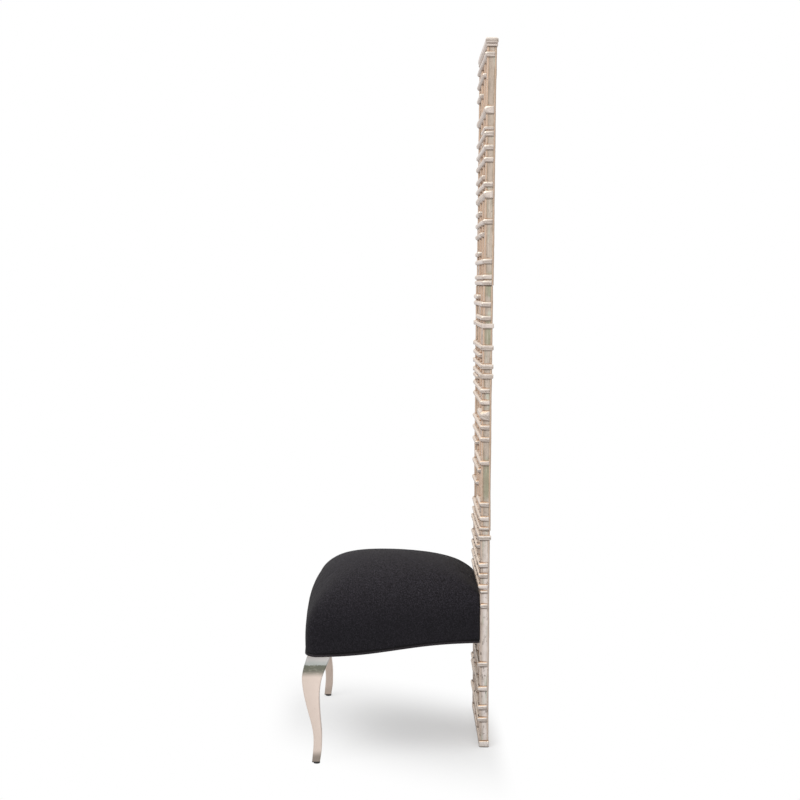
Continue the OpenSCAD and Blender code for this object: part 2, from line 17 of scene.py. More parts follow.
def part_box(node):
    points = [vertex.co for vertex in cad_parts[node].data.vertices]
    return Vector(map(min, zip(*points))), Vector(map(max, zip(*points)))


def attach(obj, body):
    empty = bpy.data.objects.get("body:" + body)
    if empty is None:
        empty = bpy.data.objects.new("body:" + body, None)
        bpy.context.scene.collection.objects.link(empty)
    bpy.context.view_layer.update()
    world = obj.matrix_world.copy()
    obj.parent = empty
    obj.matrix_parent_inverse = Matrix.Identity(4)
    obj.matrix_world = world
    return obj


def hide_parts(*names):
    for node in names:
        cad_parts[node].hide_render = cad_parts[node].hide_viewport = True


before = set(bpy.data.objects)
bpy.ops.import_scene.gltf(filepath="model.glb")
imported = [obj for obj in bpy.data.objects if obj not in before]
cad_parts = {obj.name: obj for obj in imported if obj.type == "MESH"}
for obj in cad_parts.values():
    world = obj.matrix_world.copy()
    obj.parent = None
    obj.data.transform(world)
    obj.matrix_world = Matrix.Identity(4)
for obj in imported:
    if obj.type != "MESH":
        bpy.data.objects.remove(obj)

log = logging.getLogger("chair")

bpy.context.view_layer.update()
BODY = "root"
MM = 0.001
HAIR = 0.01 * MM  # points nearer than this count as one

Pair = tuple[float, float]
Triple = tuple[float, float, float]
Colour = tuple[float, float, float, float]
Plan = list[Pair]
Box = tuple[Vector, Vector]
Material = bpy.types.Material
Mesh = bpy.types.Mesh


def paint(code: str) -> Colour:
    """Turns a colour code into linear light.

    Args:
        code: six hexadecimal digits for red, green and blue.

    Returns:
        The colour with full alpha.
    """
    parts = [int(code[k:k + 2], 16) / 255 for k in (0, 2, 4)]
    red, green, blue = (p / 12.92 if p <= 0.04045 else ((p + 0.055) / 1.055) ** 2.4 for p in parts)
    return red, green, blue, 1.0


def clamp(value: float) -> float:
    """Keeps a number between 0 and 1."""
    return min(max(value, 0.0), 1.0)


class Signal:
    """One output socket of a node tree, for use in Python expressions.

    A vector or colour goes through Vector Math nodes and a number through Math nodes.
    """

    def __init__(self, graph: "Graph", socket: bpy.types.NodeSocket | None) -> None:
        """Keeps the socket, and the kind of node that joins it to others.

        Args:
            graph: the tree that it belongs to.
            socket: the output socket, or None for a node that has none.
        """
        self.socket = socket
        wide = socket is not None and socket.type in ("VECTOR", "RGBA")
        self.join = graph.vector if wide else graph.math

    def __add__(self, other: Any) -> "Signal":
        """Adds a value."""
        return self.join("ADD", self, other)

    def __sub__(self, other: Any) -> "Signal":
        """Takes a value away."""
        return self.join("SUBTRACT", self, other)

    def __rsub__(self, other: Any) -> "Signal":
        """Takes this signal away from a value."""
        return self.join("SUBTRACT", other, self)

    def __mul__(self, other: Any) -> "Signal":
        """Multiplies by a value, axis by axis."""
        return self.join("MULTIPLY", self, other)

    def __abs__(self) -> "Signal":
        """Leaves the sign out."""
        return self.join("ABSOLUTE", self)

    __radd__ = __add__
    __rmul__ = __mul__


class Graph:
    """A node tree that is written as expressions, for materials and for geometry."""

    def __init__(self, tree: bpy.types.NodeTree) -> None:
        """Starts with the tree's nodes cleared."""
        self.tree = tree
        tree.nodes.clear()

    def node(self, kind: str, inputs: dict[str | int, Any] | None = None, output: int = 0,
             **settings: Any) -> Signal:
        """Makes a node, sets it and wires it.

        Args:
            kind: the node's type.
            inputs: values or signals by socket name or index.
            output: index of the output socket that is wanted.
            settings: the node's own attributes, which are set first.

        Returns:
            The signal of that output.
        """
        made = self.tree.nodes.new(kind)
        for name, value in settings.items():
            setattr(made, name, value)
        for key, value in (inputs or {}).items():
            if isinstance(value, Signal):
                self.tree.links.new(value.socket, made.inputs[key])
            else:
                made.inputs[key].default_value = value
        return Signal(self, made.outputs[output] if made.outputs else None)

    def outputs(self, kind: str, inputs: dict[str | int, Any] | None = None) -> dict[str, Signal]:
        """Makes a node of which more than one output is wanted, and gives them all by name."""
        return {s.name: Signal(self, s) for s in self.node(kind, inputs).socket.node.outputs}

    def math(self, operation: str, a: Signal | float, b: Signal | float = 0.0) -> Signal:
        """Joins two numbers by a Math node."""
        return self.node("ShaderNodeMath", {0: a, 1: b}, operation=operation)

    def vector(self, operation: str, a: Any, b: Any = (0.0, 0.0, 0.0), output: int = 0) -> Signal:
        """Joins two vectors by a Vector Math node, whose output 1 is a number."""
        return self.node("ShaderNodeVectorMath", {0: a, 1: b}, output, operation=operation)

    def most(self, first: Signal, *others: Signal) -> Signal:
        """The largest of some numbers."""
        for other in others:
            first = self.math("MAXIMUM", first, other)
        return first

    def ramp(self, value: Signal, low: float, high: float) -> Signal:
        """Rises or falls smoothly between two levels.

        Args:
            value: the number that is read.
            low: where the result is 0.
            high: where the result is 1, which may lie below the other level.

        Returns:
            The result, from 0 to 1.
        """
        if low > high:
            return 1.0 - self.ramp(value, high, low)
        return self.node("ShaderNodeMapRange", {0: value, 1: low, 2: high, 3: 0.0, 4: 1.0},
                         interpolation_type="SMOOTHSTEP")

    def parts(self, value: Signal) -> tuple[Signal, ...]:
        """Splits a vector into its three numbers."""
        return tuple(self.outputs("ShaderNodeSeparateXYZ", {0: value}).values())

    def noise(self, place: Signal, scale: float, detail: float = 2.0, rough: float = 0.5,
              output: int = 0) -> Signal:
        """Reads a noise texture, as a number by output 0 and as a vector by output 1."""
        return self.node("ShaderNodeTexNoise", {
            "Vector": place, "Scale": scale, "Detail": detail, "Roughness": rough}, output)

    def seen(self, *rays: str) -> Signal:
        """1 for these kinds of light path and 0 for the rest."""
        path = self.outputs("ShaderNodeLightPath")
        return self.most(*(path[f"Is {ray} Ray"] for ray in rays))


@dataclass(frozen=True)
class Grain:
    """A noise pattern and, where it makes patches, the levels between which they fade in."""

    per_metre: float | Triple
    detail: float = 2.0
    rough: float = 0.5
    low: float = 0.0
    high: float = 1.0


class Paint(Graph):
    """The node tree of one material."""

    def __init__(self, name: str) -> None:
        """Makes an empty material.

        Args:
            name: the material's name.
        """
        self.material = bpy.data.materials.new(name)
        self.material.use_nodes = True
        super().__init__(self.material.node_tree)

    def place(self, stretch: Triple = (1.0, 1.0, 1.0)) -> Signal:
        """Object coordinates, multiplied axis by axis."""
        return self.node("ShaderNodeTexCoord", output=3) * stretch

    def height(self) -> Signal:
        """Height above the floor."""
        return self.parts(self.place())[2]

    def normal(self) -> tuple[Signal, ...]:
        """The surface's normal along each axis."""
        return self.parts(self.node("ShaderNodeNewGeometry", output=1))

    def unit(self) -> tuple[Signal, ...]:
        """Place within a bar along each axis, from -1 to 1."""
        return self.parts(self.node("ShaderNodeAttribute", output=1, attribute_name="unit"))

    def mark(self, name: str) -> Signal:
        """A number that is stored on the mesh."""
        return self.node("ShaderNodeAttribute", output=2, attribute_name=name)

    def grain(self, of: Grain) -> Signal:
        """Reads a noise pattern.

        Args:
            of: the pattern, with cells of one size or stretched along the axes.

        Returns:
            Its level, from 0 to 1.
        """
        even = isinstance(of.per_metre, float)
        place, scale = (self.place(), of.per_metre) if even else (self.place(of.per_metre), 1.0)
        return self.noise(place, scale, of.detail, of.rough)

    def patches(self, of: Grain) -> Signal:
        """Patches of a noise pattern with soft edges, from 0 to 1."""
        return self.ramp(self.grain(of), of.low, of.high)

    def tint(self, a: Any, b: Any, share: Signal | float, way: str = "MIX") -> Signal:
        """Mixes two colours."""
        return self.node(
            "ShaderNodeMix", {0: share, 6: a, 7: b}, 2, data_type="RGBA", blend_type=way)

    def coats(self, colour: Any, *coats: tuple[Any, Signal | float]) -> Signal:
        """Lays colours over a first one.

        Args:
            colour: the first colour.
            coats: each further colour and how far it covers what is below it.

        Returns:
            The colour on top.
        """
        for coat, share in coats:
            colour = self.tint(colour, coat, share)
        return colour

    def bump(self, height: Signal, distance: float, strength: float = 1.0) -> Signal:
        """Turns a height into a normal."""
        return self.node("ShaderNodeBump", {
            "Strength": strength, "Distance": distance, "Height": height})

    def finish(self, **inputs: Any) -> Material:
        """Closes the tree with a Principled shader.

        Args:
            inputs: values or signals by the shader's socket names, with _ for a space.

        Returns:
            The material.
        """
        named = {key.replace("_", " "): value for key, value in inputs.items()}
        shader = self.node("ShaderNodeBsdfPrincipled", named)
        self.node("ShaderNodeOutputMaterial", {"Surface": shader})
        return self.material


@dataclass(frozen=True)
class LeafFinish:
    """Champagne silver leaf over wood, with what every bar of the back has in common."""

    name: str
    cream: Colour = paint("F0DAC4")
    glaze: Colour = paint("4A382D")
    pit: Colour = paint("6B5A4C")
    shade: Colour = paint("9C8A7A")
    glow: Colour = paint("DCD2C6")
    metal: float = 0.45
    rough: float = 0.42
    coat: float = 0.08
    relief: float = 0.9 * MM
    foot: float = 0.0045
    clouds: Grain = Grain(24.0, 3.0, 0.6)
    pits: Grain = Grain(210.0, 3.0, 0.6, 0.62, 0.70)
    pit_groups: Grain = Grain(21.0, 1.0, low=0.48, high=0.60)
    brushing: Grain = Grain(95.0, 4.0, 0.6)

    def worn(self, p: Paint, colour: Signal, dark: Signal, squeeze: Triple) -> Material:
        """Adds streaks, pits and painted shade to a colour and closes the tree.

        Args:
            p: the material's tree.
            colour: the colour of the leaf.
            dark: how far painted shade covers it, from 0 to 1.
            squeeze: how far the streaks are squeezed along each axis.

        Returns:
            The material.
        """
        streak = p.grain(Grain(squeeze, 4.0, 0.6))
        cloud = p.grain(self.clouds)
        pits = p.patches(self.pits) * p.patches(self.pit_groups)
        colour = p.coats(
            colour,
            (self.shade, p.ramp(streak, 0.52, 0.80) * 0.55),
            (self.glow, p.ramp(streak, 0.46, 0.22) * 0.45),
            (self.shade, p.ramp(cloud, 0.56, 0.78) * 0.40),
            (self.pit, pits * 0.75),
            # Painted shade: the dark coat lies where the caller marks shade, in the colour also
            # used for flecks.
            (self.glaze, dark))
        # Painted shade, like the pits, takes metal from the leaf and roughens it.
        shade_and_pits = p.most(dark, pits)
        height = p.grain(self.brushing) * 0.8 + streak * 0.35 - shade_and_pits * 0.7
        return p.finish(
            Base_Color=colour, Metallic=(1.0 - shade_and_pits) * self.metal,
            Roughness=(cloud - 0.5) * 0.25 + shade_and_pits * 0.3 + self.rough,
            Normal=p.bump(height, self.relief, 0.6), Coat_Weight=self.coat, Coat_Roughness=0.3)


@dataclass(frozen=True)
class UprightFinish(LeafFinish):
    """Leaf of the uprights: grey panels between tan edges, with painted shade where sticks meet
    them and a warm line above each.
    """

    low: Colour = paint("D4CAC4")
    middle: Colour = paint("A89B8E")
    high: Colour = paint("AC9D8F")
    tan: Colour = paint("C9AD96")
    tan_low: Colour = paint("C4B3A6")
    edge: Colour = paint("86755F")
    olive: Colour = paint("89876F")
    mint: Colour = paint("AEB4A5")
    blotch: Colour = paint("776E62")
    amber: Colour = paint("A87850")
    stile_from: float = 0.158
    low_end: float = 0.50
    middle_from: float = 0.72
    middle_end: float = 1.30
    high_from: float = 1.62
    stains: tuple[Pair, ...] = ((0.775, 0.055), (1.19, 0.045), (1.325, 0.030))
    flat: float = 0.2
    sway: Grain = Grain(9.0)
    ripple: Grain = Grain(40.0)
    mint_patches: Grain = Grain((60.0, 60.0, 12.0), low=0.52, high=0.66)
    blotches: Grain = Grain((70.0, 70.0, 26.0), 3.0, 0.7, 0.52, 0.70)
    breaks: Grain = Grain((90.0, 90.0, 30.0), low=0.35, high=0.60)
    flecks: Grain = Grain((150.0, 150.0, 80.0), 2.0, 0.7, 0.60, 0.68)
    streaks: Triple = (240.0, 240.0, 16.0)

    def panel(self, p: Paint, across: Signal) -> Signal:
        """Colours the broad side faces, which change from the floor up and across.

        Args:
            p: the material's tree.
            across: place from the front edge, at -1, to the rear edge, at 1.

        Returns:
            The colour.
        """
        z = p.height() + (p.grain(self.sway) - 0.5) * 0.2
        rise = p.height() + (p.grain(self.ripple) - 0.5) * 0.03
        colour = p.coats(
            self.low,
            (self.middle, p.ramp(z, self.low_end, self.middle_from)),
            (self.high, p.ramp(z, self.middle_end, self.high_from)),
            (self.mint, p.patches(self.mint_patches) * 0.7),
            *((self.olive, p.ramp(abs(rise - at), half * 1.3, half * 0.7) * 0.85)
              for at, half in self.stains))
        blotch = p.patches(self.blotches) * p.ramp(across, 0.12, -0.05)
        shade = p.ramp(across, 0.02, -self.flat)
        return p.coats(colour, (self.blotch, blotch * 0.45), (self.shade, shade * 0.50))

    def material(self) -> Material:
        """Builds the finish.

        Returns:
            The material.
        """
        p = Paint(self.name)
        unit_x, unit_y, _ = p.unit()
        x, _, z = p.parts(p.place())
        wide = abs(unit_y)
        stile = p.ramp(abs(x), self.stile_from, self.stile_from + 2 * MM)
        side = p.ramp(abs(unit_x), 0.93, 0.995) * stile
        upper = p.ramp(z, self.low_end, self.middle_from)
        line = side * p.ramp(abs(wide - self.flat), 0.10, 0.02)
        broken = p.patches(self.breaks)
        colour = p.coats(
            self.tan_low,
            (self.tan, upper),
            # Side faces: grey-green, partly a painted reflection of darker surroundings and partly
            # the leaf's own stains and patches.
            (self.panel(p, unit_y), side * p.ramp(wide, 0.27, 0.17)),
            (self.edge, line * broken * (upper * 0.4 + 0.35)),
            (self.edge, p.ramp(unit_y, 0.60, 0.95) * stile * 0.40),
            # Dark flecks of the leaf, in the same colour as the painted shade.
            (self.glaze, p.patches(self.flecks) * side * (0.55 - upper * 0.35)),
            # Painted highlight: faces turned up are cream, as if lit from above.
            (self.cream, p.ramp(p.normal()[2], 0.5, 0.9)),
            # Amber line above each stick: partly bole showing through, partly a painted warm glow.
            (self.amber, p.ramp(p.mark("above"), 0.45, 0.80) * (broken * 0.4 + 0.4)))
        # Painted shade: under each stick, where sticks touch, and along the bottom few millimetres
        # at the floor.
        dark = p.most(
            p.ramp(p.mark("under"), 0.25, 0.75) * (0.8 - upper * 0.3),
            p.ramp(z, self.foot, self.foot / 3),
            p.ramp(p.mark("contact"), 0.80, 0.97) * (0.8 - upper * 0.4))
        return self.worn(p, colour, dark, self.streaks)


@dataclass(frozen=True)
class StickFinish(LeafFinish):
    """Paler leaf of the sticks, with painted highlights on top and painted shade below and where
    they cross uprights.
    """

    pale: Colour = paint("DDCFC7")
    full: Colour = paint("CAB7A9")
    tan: Colour = paint("BFA490")
    deep: Colour = paint("A08A79")
    end: Colour = paint("C4B9B1")
    end_low: Colour = paint("D6CFCA")
    crease: Colour = paint("8A7D71")
    bright: Colour = paint("FBEEDD")
    amber: Colour = paint("DDA468")
    below: Colour = paint("8F7868")
    below_high: Colour = paint("A99A90")
    amber_to: float = 0.75
    amber_gone: float = 1.25
    deep_to: float = 0.85
    end_low_to: float = 0.55
    deep_gone: float = 1.40
    aged_middle: Pair = (1.30, 1.15)
    darkening_low: Pair = (0.95, 0.70)
    sway: Grain = Grain(70.0)
    tan_patches: Grain = Grain((14.0, 40.0, 40.0), 3.0, 0.6, 0.50, 0.70)
    streaks: Triple = (16.0, 260.0, 260.0)

    def material(self) -> Material:
        """Builds the finish.

        Returns:
            The material.
        """
        p = Paint(self.name)
        unit_x, _, unit_z = p.unit()
        tone = p.mark("tone")
        height = p.height()
        rise = unit_z + (p.grain(self.sway) - 0.5) * 0.5
        # Sticks darker towards the bottom, in two steps by height.
        darkening = p.ramp(height, *self.aged_middle) * 0.25 + p.ramp(height, *self.darkening_low) * 0.50
        lowness = p.ramp(height, self.deep_to, self.end_low_to)
        end = p.ramp(abs(unit_x), 0.955, 0.99)
        crease = p.ramp(abs(rise + 0.10), 0.28, 0.08) * p.ramp(tone, 0.15, 0.45)
        # Painted highlight: the tops of the sticks are cream, brightest on the ends.
        top = p.ramp(rise, 0.38, 0.62) * p.ramp(tone, -0.5, -0.1)
        # Painted warm reflection along the tops of the ends, in the lower part of the back.
        warm = end * p.ramp(rise, 0.70, 0.95) * p.ramp(height, self.amber_gone, self.amber_to)
        # Painted shade on the undersides, lighter higher up.
        below = p.tint(self.below, self.below_high, p.ramp(height, self.deep_to, self.deep_gone))
        colour = p.coats(
            self.full,
            (self.pale, tone),
            (self.tan, p.patches(self.tan_patches) * 0.55),
            (self.deep, darkening),
            (p.tint(self.end, self.end_low, lowness), end * 0.85),
            (self.crease, crease * end * 0.65),
            (p.tint(self.cream, self.bright, end), top * 0.9),
            (self.amber, warm * 0.75),
            (below, p.ramp(rise, -0.60, -1.0) * 0.70))
        # Painted shade: dark where sticks touch uprights, wider lower down, and along the floor.
        touch = p.ramp(p.mark("contact") + lowness * 0.2, 0.66, 0.97)
        dark = p.most(touch * (1.0 - end) * (lowness * 0.35 + 0.5),
                      p.ramp(height, self.foot, self.foot / 3))
        return self.worn(p, colour, dark, self.streaks)


@dataclass(frozen=True)
class LegFinish:
    """Brighter leaf of the front legs, with painted reflections of a lamp strip and a dark band
    below the seat.
    """

    name: str
    plain: Colour = paint("DACBC1")
    inner: Colour = paint("A18C7A")
    silver: Colour = paint("C0BDBB")
    grey: Colour = paint("B0B3B0")
    band: Colour = paint("66685B")
    band_worn: Colour = paint("8C8B7E")
    cuff: Colour = paint("CFC4B9")
    foot: Colour = paint("7C7268")
    sole: Colour = paint("2A2423")
    speck: Colour = paint("8C6F5C")
    mottle_dark: Colour = paint("77706A")
    mottle_light: Colour = paint("A7A5A2")
    band_fades: Pair = (0.240, 0.262)
    band_top: float = 0.2755
    grey_fades: Pair = (0.279, 0.291)
    cuff_fades: Pair = (0.296, 0.301)
    foot_fades: Pair = (0.042, 0.018)
    sole_fades: Pair = (0.0085, 0.0060)
    relief: float = 0.4 * MM
    sway: Grain = Grain(35.0, 3.0)
    rag: Grain = Grain(170.0, 3.0, 0.7)
    rubbing: Grain = Grain((90.0, 90.0, 260.0), low=0.50, high=0.75)
    mottle: Grain = Grain(70.0, 4.0, 0.65)
    specks: Grain = Grain(300.0, 2.0, 0.6, 0.66, 0.74)
    speck_groups: Grain = Grain(22.0, 1.0, low=0.50, high=0.62)
    brushing: Grain = Grain(120.0, 4.0, 0.6)

    def material(self) -> Material:
        """Builds the finish.

        Returns:
            The material.
        """
        p = Paint(self.name)
        x, _, height = p.parts(p.place())
        z = height + (p.grain(self.sway) - 0.5) * 0.004
        ragged = height + (p.grain(self.rag) - 0.5) * 0.010
        # Painted reflections: a silver lamp strip over grey at the top of the leg, and a dark
        # grey-green band below it.
        metal = p.coats(self.grey, (self.silver, p.ramp(z, *self.grey_fades)),
                        (self.cuff, p.ramp(z, *self.cuff_fades)))
        reflected_band = p.tint(self.band, self.band_worn, p.patches(self.rubbing))
        band = p.ramp(ragged, self.band_top + 2 * MM, self.band_top - 2 * MM)
        outer = p.ramp(p.normal()[0] * p.math("SIGN", x), -0.6, 0.2)
        colour = p.coats(
            self.plain,
            (metal, p.ramp(z, self.band_fades[1], self.band_top)),
            (reflected_band, band * p.ramp(z, *self.band_fades) * 0.96),
            # Painted shade: the faces turned inwards, towards the other leg, are darker.
            (self.inner, (1.0 - outer) * 0.30),
            (self.foot, p.ramp(z, *self.foot_fades) * (outer * 0.55 + 0.25)),
            (self.sole, p.ramp(height, *self.sole_fades)))
        mottle = p.grain(self.mottle)
        veil = p.tint(self.mottle_dark, self.mottle_light, mottle)
        specks = p.patches(self.specks) * p.patches(self.speck_groups)
        return p.finish(
            Base_Color=p.tint(p.tint(colour, veil, 0.30, "SOFT_LIGHT"), self.speck, specks * 0.45),
            Metallic=(1.0 - specks) * 0.6, Roughness=(mottle - 0.5) * 0.2 + 0.34,
            Normal=p.bump(p.grain(self.brushing), self.relief, 0.4), Coat_Weight=0.1,
            Coat_Roughness=0.2)


@dataclass(frozen=True)
class WoolFinish:
    """Fulled wool cloth: nearly black, matt, with pale fibres and a faint nap."""

    name: str
    dark: Colour = paint("17151A")
    pale: Colour = paint("211E22")
    fibre: Colour = paint("5E5A64")
    gap: Colour = paint("0B0A0C")
    cloud_dark: Colour = paint("6A6A6A")
    cloud_light: Colour = paint("969696")
    sheen: Colour = paint("B8B4AE")
    top_from: float = 0.36
    top_to: float = 0.53
    relief: float = 1.2 * MM
    knots_per_metre: float = 340.0
    nap: Grain = Grain(330.0, 3.0, 0.7)
    clouds: Grain = Grain(14.0, 3.0, 0.6)

    def material(self) -> Material:
        """Builds the finish.

        Returns:
            The material.
        """
        p = Paint(self.name)
        # Painted light from above: the upper part of the cover is paler and shows more pale
        # fibres.
        top = p.ramp(p.height(), self.top_from, self.top_to)
        nap = p.grain(self.nap)
        knots = p.node("ShaderNodeTexVoronoi", {
            "Vector": p.place(), "Scale": self.knots_per_metre, "Randomness": 1.0}, feature="F1")
        fibres = p.ramp(nap, 0.36, 0.70) * p.ramp(knots, 0.90, 0.20)
        colour = p.coats(
            self.dark,
            (self.pale, top),
            (self.fibre, fibres * (0.28 + top * 0.56)),
            (self.gap, p.ramp(nap, 0.46, 0.30) * 0.45))
        veil = p.tint(self.cloud_dark, self.cloud_light, p.grain(self.clouds))
        colour = p.tint(colour, veil, 0.5, "SOFT_LIGHT")
        colour = p.tint(colour, self.gap, p.ramp(p.mark("seam"), 0.15, 0.60) * 0.85)
        return p.finish(
            Base_Color=colour, Roughness=0.95, Sheen_Weight=0.06, Sheen_Roughness=0.5,
            Sheen_Tint=self.sheen, Specular_IOR_Level=0.2,
            Normal=p.bump(nap * 0.5 + fibres * 0.5, self.relief, 0.8))


@dataclass(frozen=True)
class TimberFinish:
    """Raw timber with its grain along X, for what the cover hides."""

    name: str
    pale: Colour = paint("D9BE93")
    dark: Colour = paint("B08A5C")
    pore: Colour = paint("8A6740")
    rings: float = 90.0
    relief: float = 0.3 * MM
    pores: Grain = Grain((30.0, 900.0, 900.0), low=0.62, high=0.72)

    def material(self) -> Material:
        """Builds the finish.

        Returns:
            The material.
        """
        p = Paint(self.name)
        grain = p.grain(Grain((4.0, self.rings, self.rings), 5.0, 0.65))
        pores = p.patches(self.pores)
        return p.finish(
            Base_Color=p.coats(self.pale, (self.dark, grain), (self.pore, pores * 0.4)),
            Roughness=grain * 0.15 + 0.6, Normal=p.bump(grain - pores * 0.5, self.relief, 0.5))


@dataclass(frozen=True)
class PlainFinish:
    """A hard or soft finish of one colour with a fine grain, for small and hidden parts."""

    name: str
    colour: Colour
    shade: Colour
    rough: float
    metal: float = 0.0
    grain: Grain = Grain(500.0, 3.0, 0.6)
    relief: float = 0.2 * MM

    def material(self) -> Material:
        """Builds the finish.

        Returns:
            The material.
        """
        p = Paint(self.name)
        grain = p.grain(self.grain)
        return p.finish(
            Base_Color=p.tint(self.colour, self.shade, grain), Metallic=self.metal,
            Roughness=(grain - 0.5) * 0.2 + self.rough, Normal=p.bump(grain, self.relief, 0.5))


class Slot(Enum):
    """Material slot names of the record; nothing here gives them to a piece."""

    LEAF = "leafed_wood"
    LEG = "leafed_leg"
    COVER = "wool_cover"
    WELT = "wool_welt"


def placed(name: str, data: bpy.types.ID) -> bpy.types.Object:
    """Puts an object with this data into the scene, at the origin."""
    made = bpy.data.objects.new(name, data)
    bpy.context.scene.collection.objects.link(made)
    return made


def evaluated(carrier: bpy.types.Object) -> Mesh:
    """Makes a plain mesh of an object with its modifiers."""
    depsgraph = bpy.context.evaluated_depsgraph_get()
    return bpy.data.meshes.new_from_object(carrier.evaluated_get(depsgraph))


def add_piece(name: str, mesh: Mesh, nodes: Iterable[str],
              material: Material | None = None) -> bpy.types.Object:
    """Puts a finished mesh into the scene as a piece of the chair.

    Args:
        name: the piece's name.
        mesh: its mesh, in the chair's own place.
        nodes: the CAD nodes that it stands for.
        material: its finish, unless the mesh already has one.

    Returns:
        The piece's object.
    """
    piece = placed(name, mesh)
    if material is not None:
        mesh.materials.clear()
        mesh.materials.append(material)
    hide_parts(*nodes)
    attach(piece, BODY)
    log.info("%s: %d faces for %s", name, len(mesh.polygons), ", ".join(nodes))
    return piece


def solids_of(node: str) -> list[Box]:
    """Finds the separate solids of a CAD node.

    Args:
        node: the node's name.

    Returns:
        The lowest and highest corner of each solid, from the floor up.
    """
    shape = bmesh.new()
    shape.from_mesh(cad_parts[node].data)
    bmesh.ops.remove_doubles(shape, verts=shape.verts, dist=HAIR)
    left = set(shape.verts)
    boxes = []
    while left:
        found, front = set(), [left.pop()]
        while front:
            vert = front.pop()
            found.add(vert)
            near = {edge.other_vert(vert) for edge in vert.link_edges} & left
            left -= near
            front += near
        places = [v.co for v in found]
        low, high = (Vector(pick(c[k] for c in places) for k in range(3)) for pick in (min, max))
        boxes.append((low, high))
    shape.free()
    return sorted(boxes, key=lambda box: tuple(reversed(box[0])))


def skin(rings: list[list[Vector]], name: str) -> Mesh:
    """Joins rings of points into a closed tube or loft.

    Args:
        rings: points of each ring, as many in each.
        name: the mesh's name.

    Returns:
        The mesh, smooth and with a cap at both ends.
    """
    count = len(rings[0])
    faces = []
    for start in range(0, (len(rings) - 1) * count, count):
        for i in range(count):
            a, b = start + i, start + (i + 1) % count
            faces.append((a, b, b + count, a + count))
    faces.append(tuple(reversed(range(count))))
    faces.append(tuple(range((len(rings) - 1) * count, len(rings) * count)))
    mesh = bpy.data.meshes.new(name)
    mesh.from_pydata([tuple(p) for ring in rings for p in ring], [], faces)
    shape = bmesh.new()
    shape.from_mesh(mesh)
    bmesh.ops.recalc_face_normals(shape, faces=shape.faces)
    shape.to_mesh(mesh)
    shape.free()
    mesh.shade_smooth()
    return mesh


@dataclass
class Bar:
    """A rounded bar of the back: its box, its lean and how its edges are rounded."""

    low: Vector
    high: Vector
    lean: float
    soft_front: Triple
    soft_back: Triple
    tone: float = 0.5

    @property
    def centre(self) -> Vector:
        """Middle of the box."""
        return (self.low + self.high) / 2

    @property
    def half(self) -> Vector:
        """Half of the box's size."""
        return (self.high - self.low) / 2


class Run(Enum):
    """Axis along which the bars of a group run, with its cells along X, Y and Z."""

    ACROSS = (96, 5, 5)
    UP = (5, 5, 320)
    SHORT = (9, 9, 9)


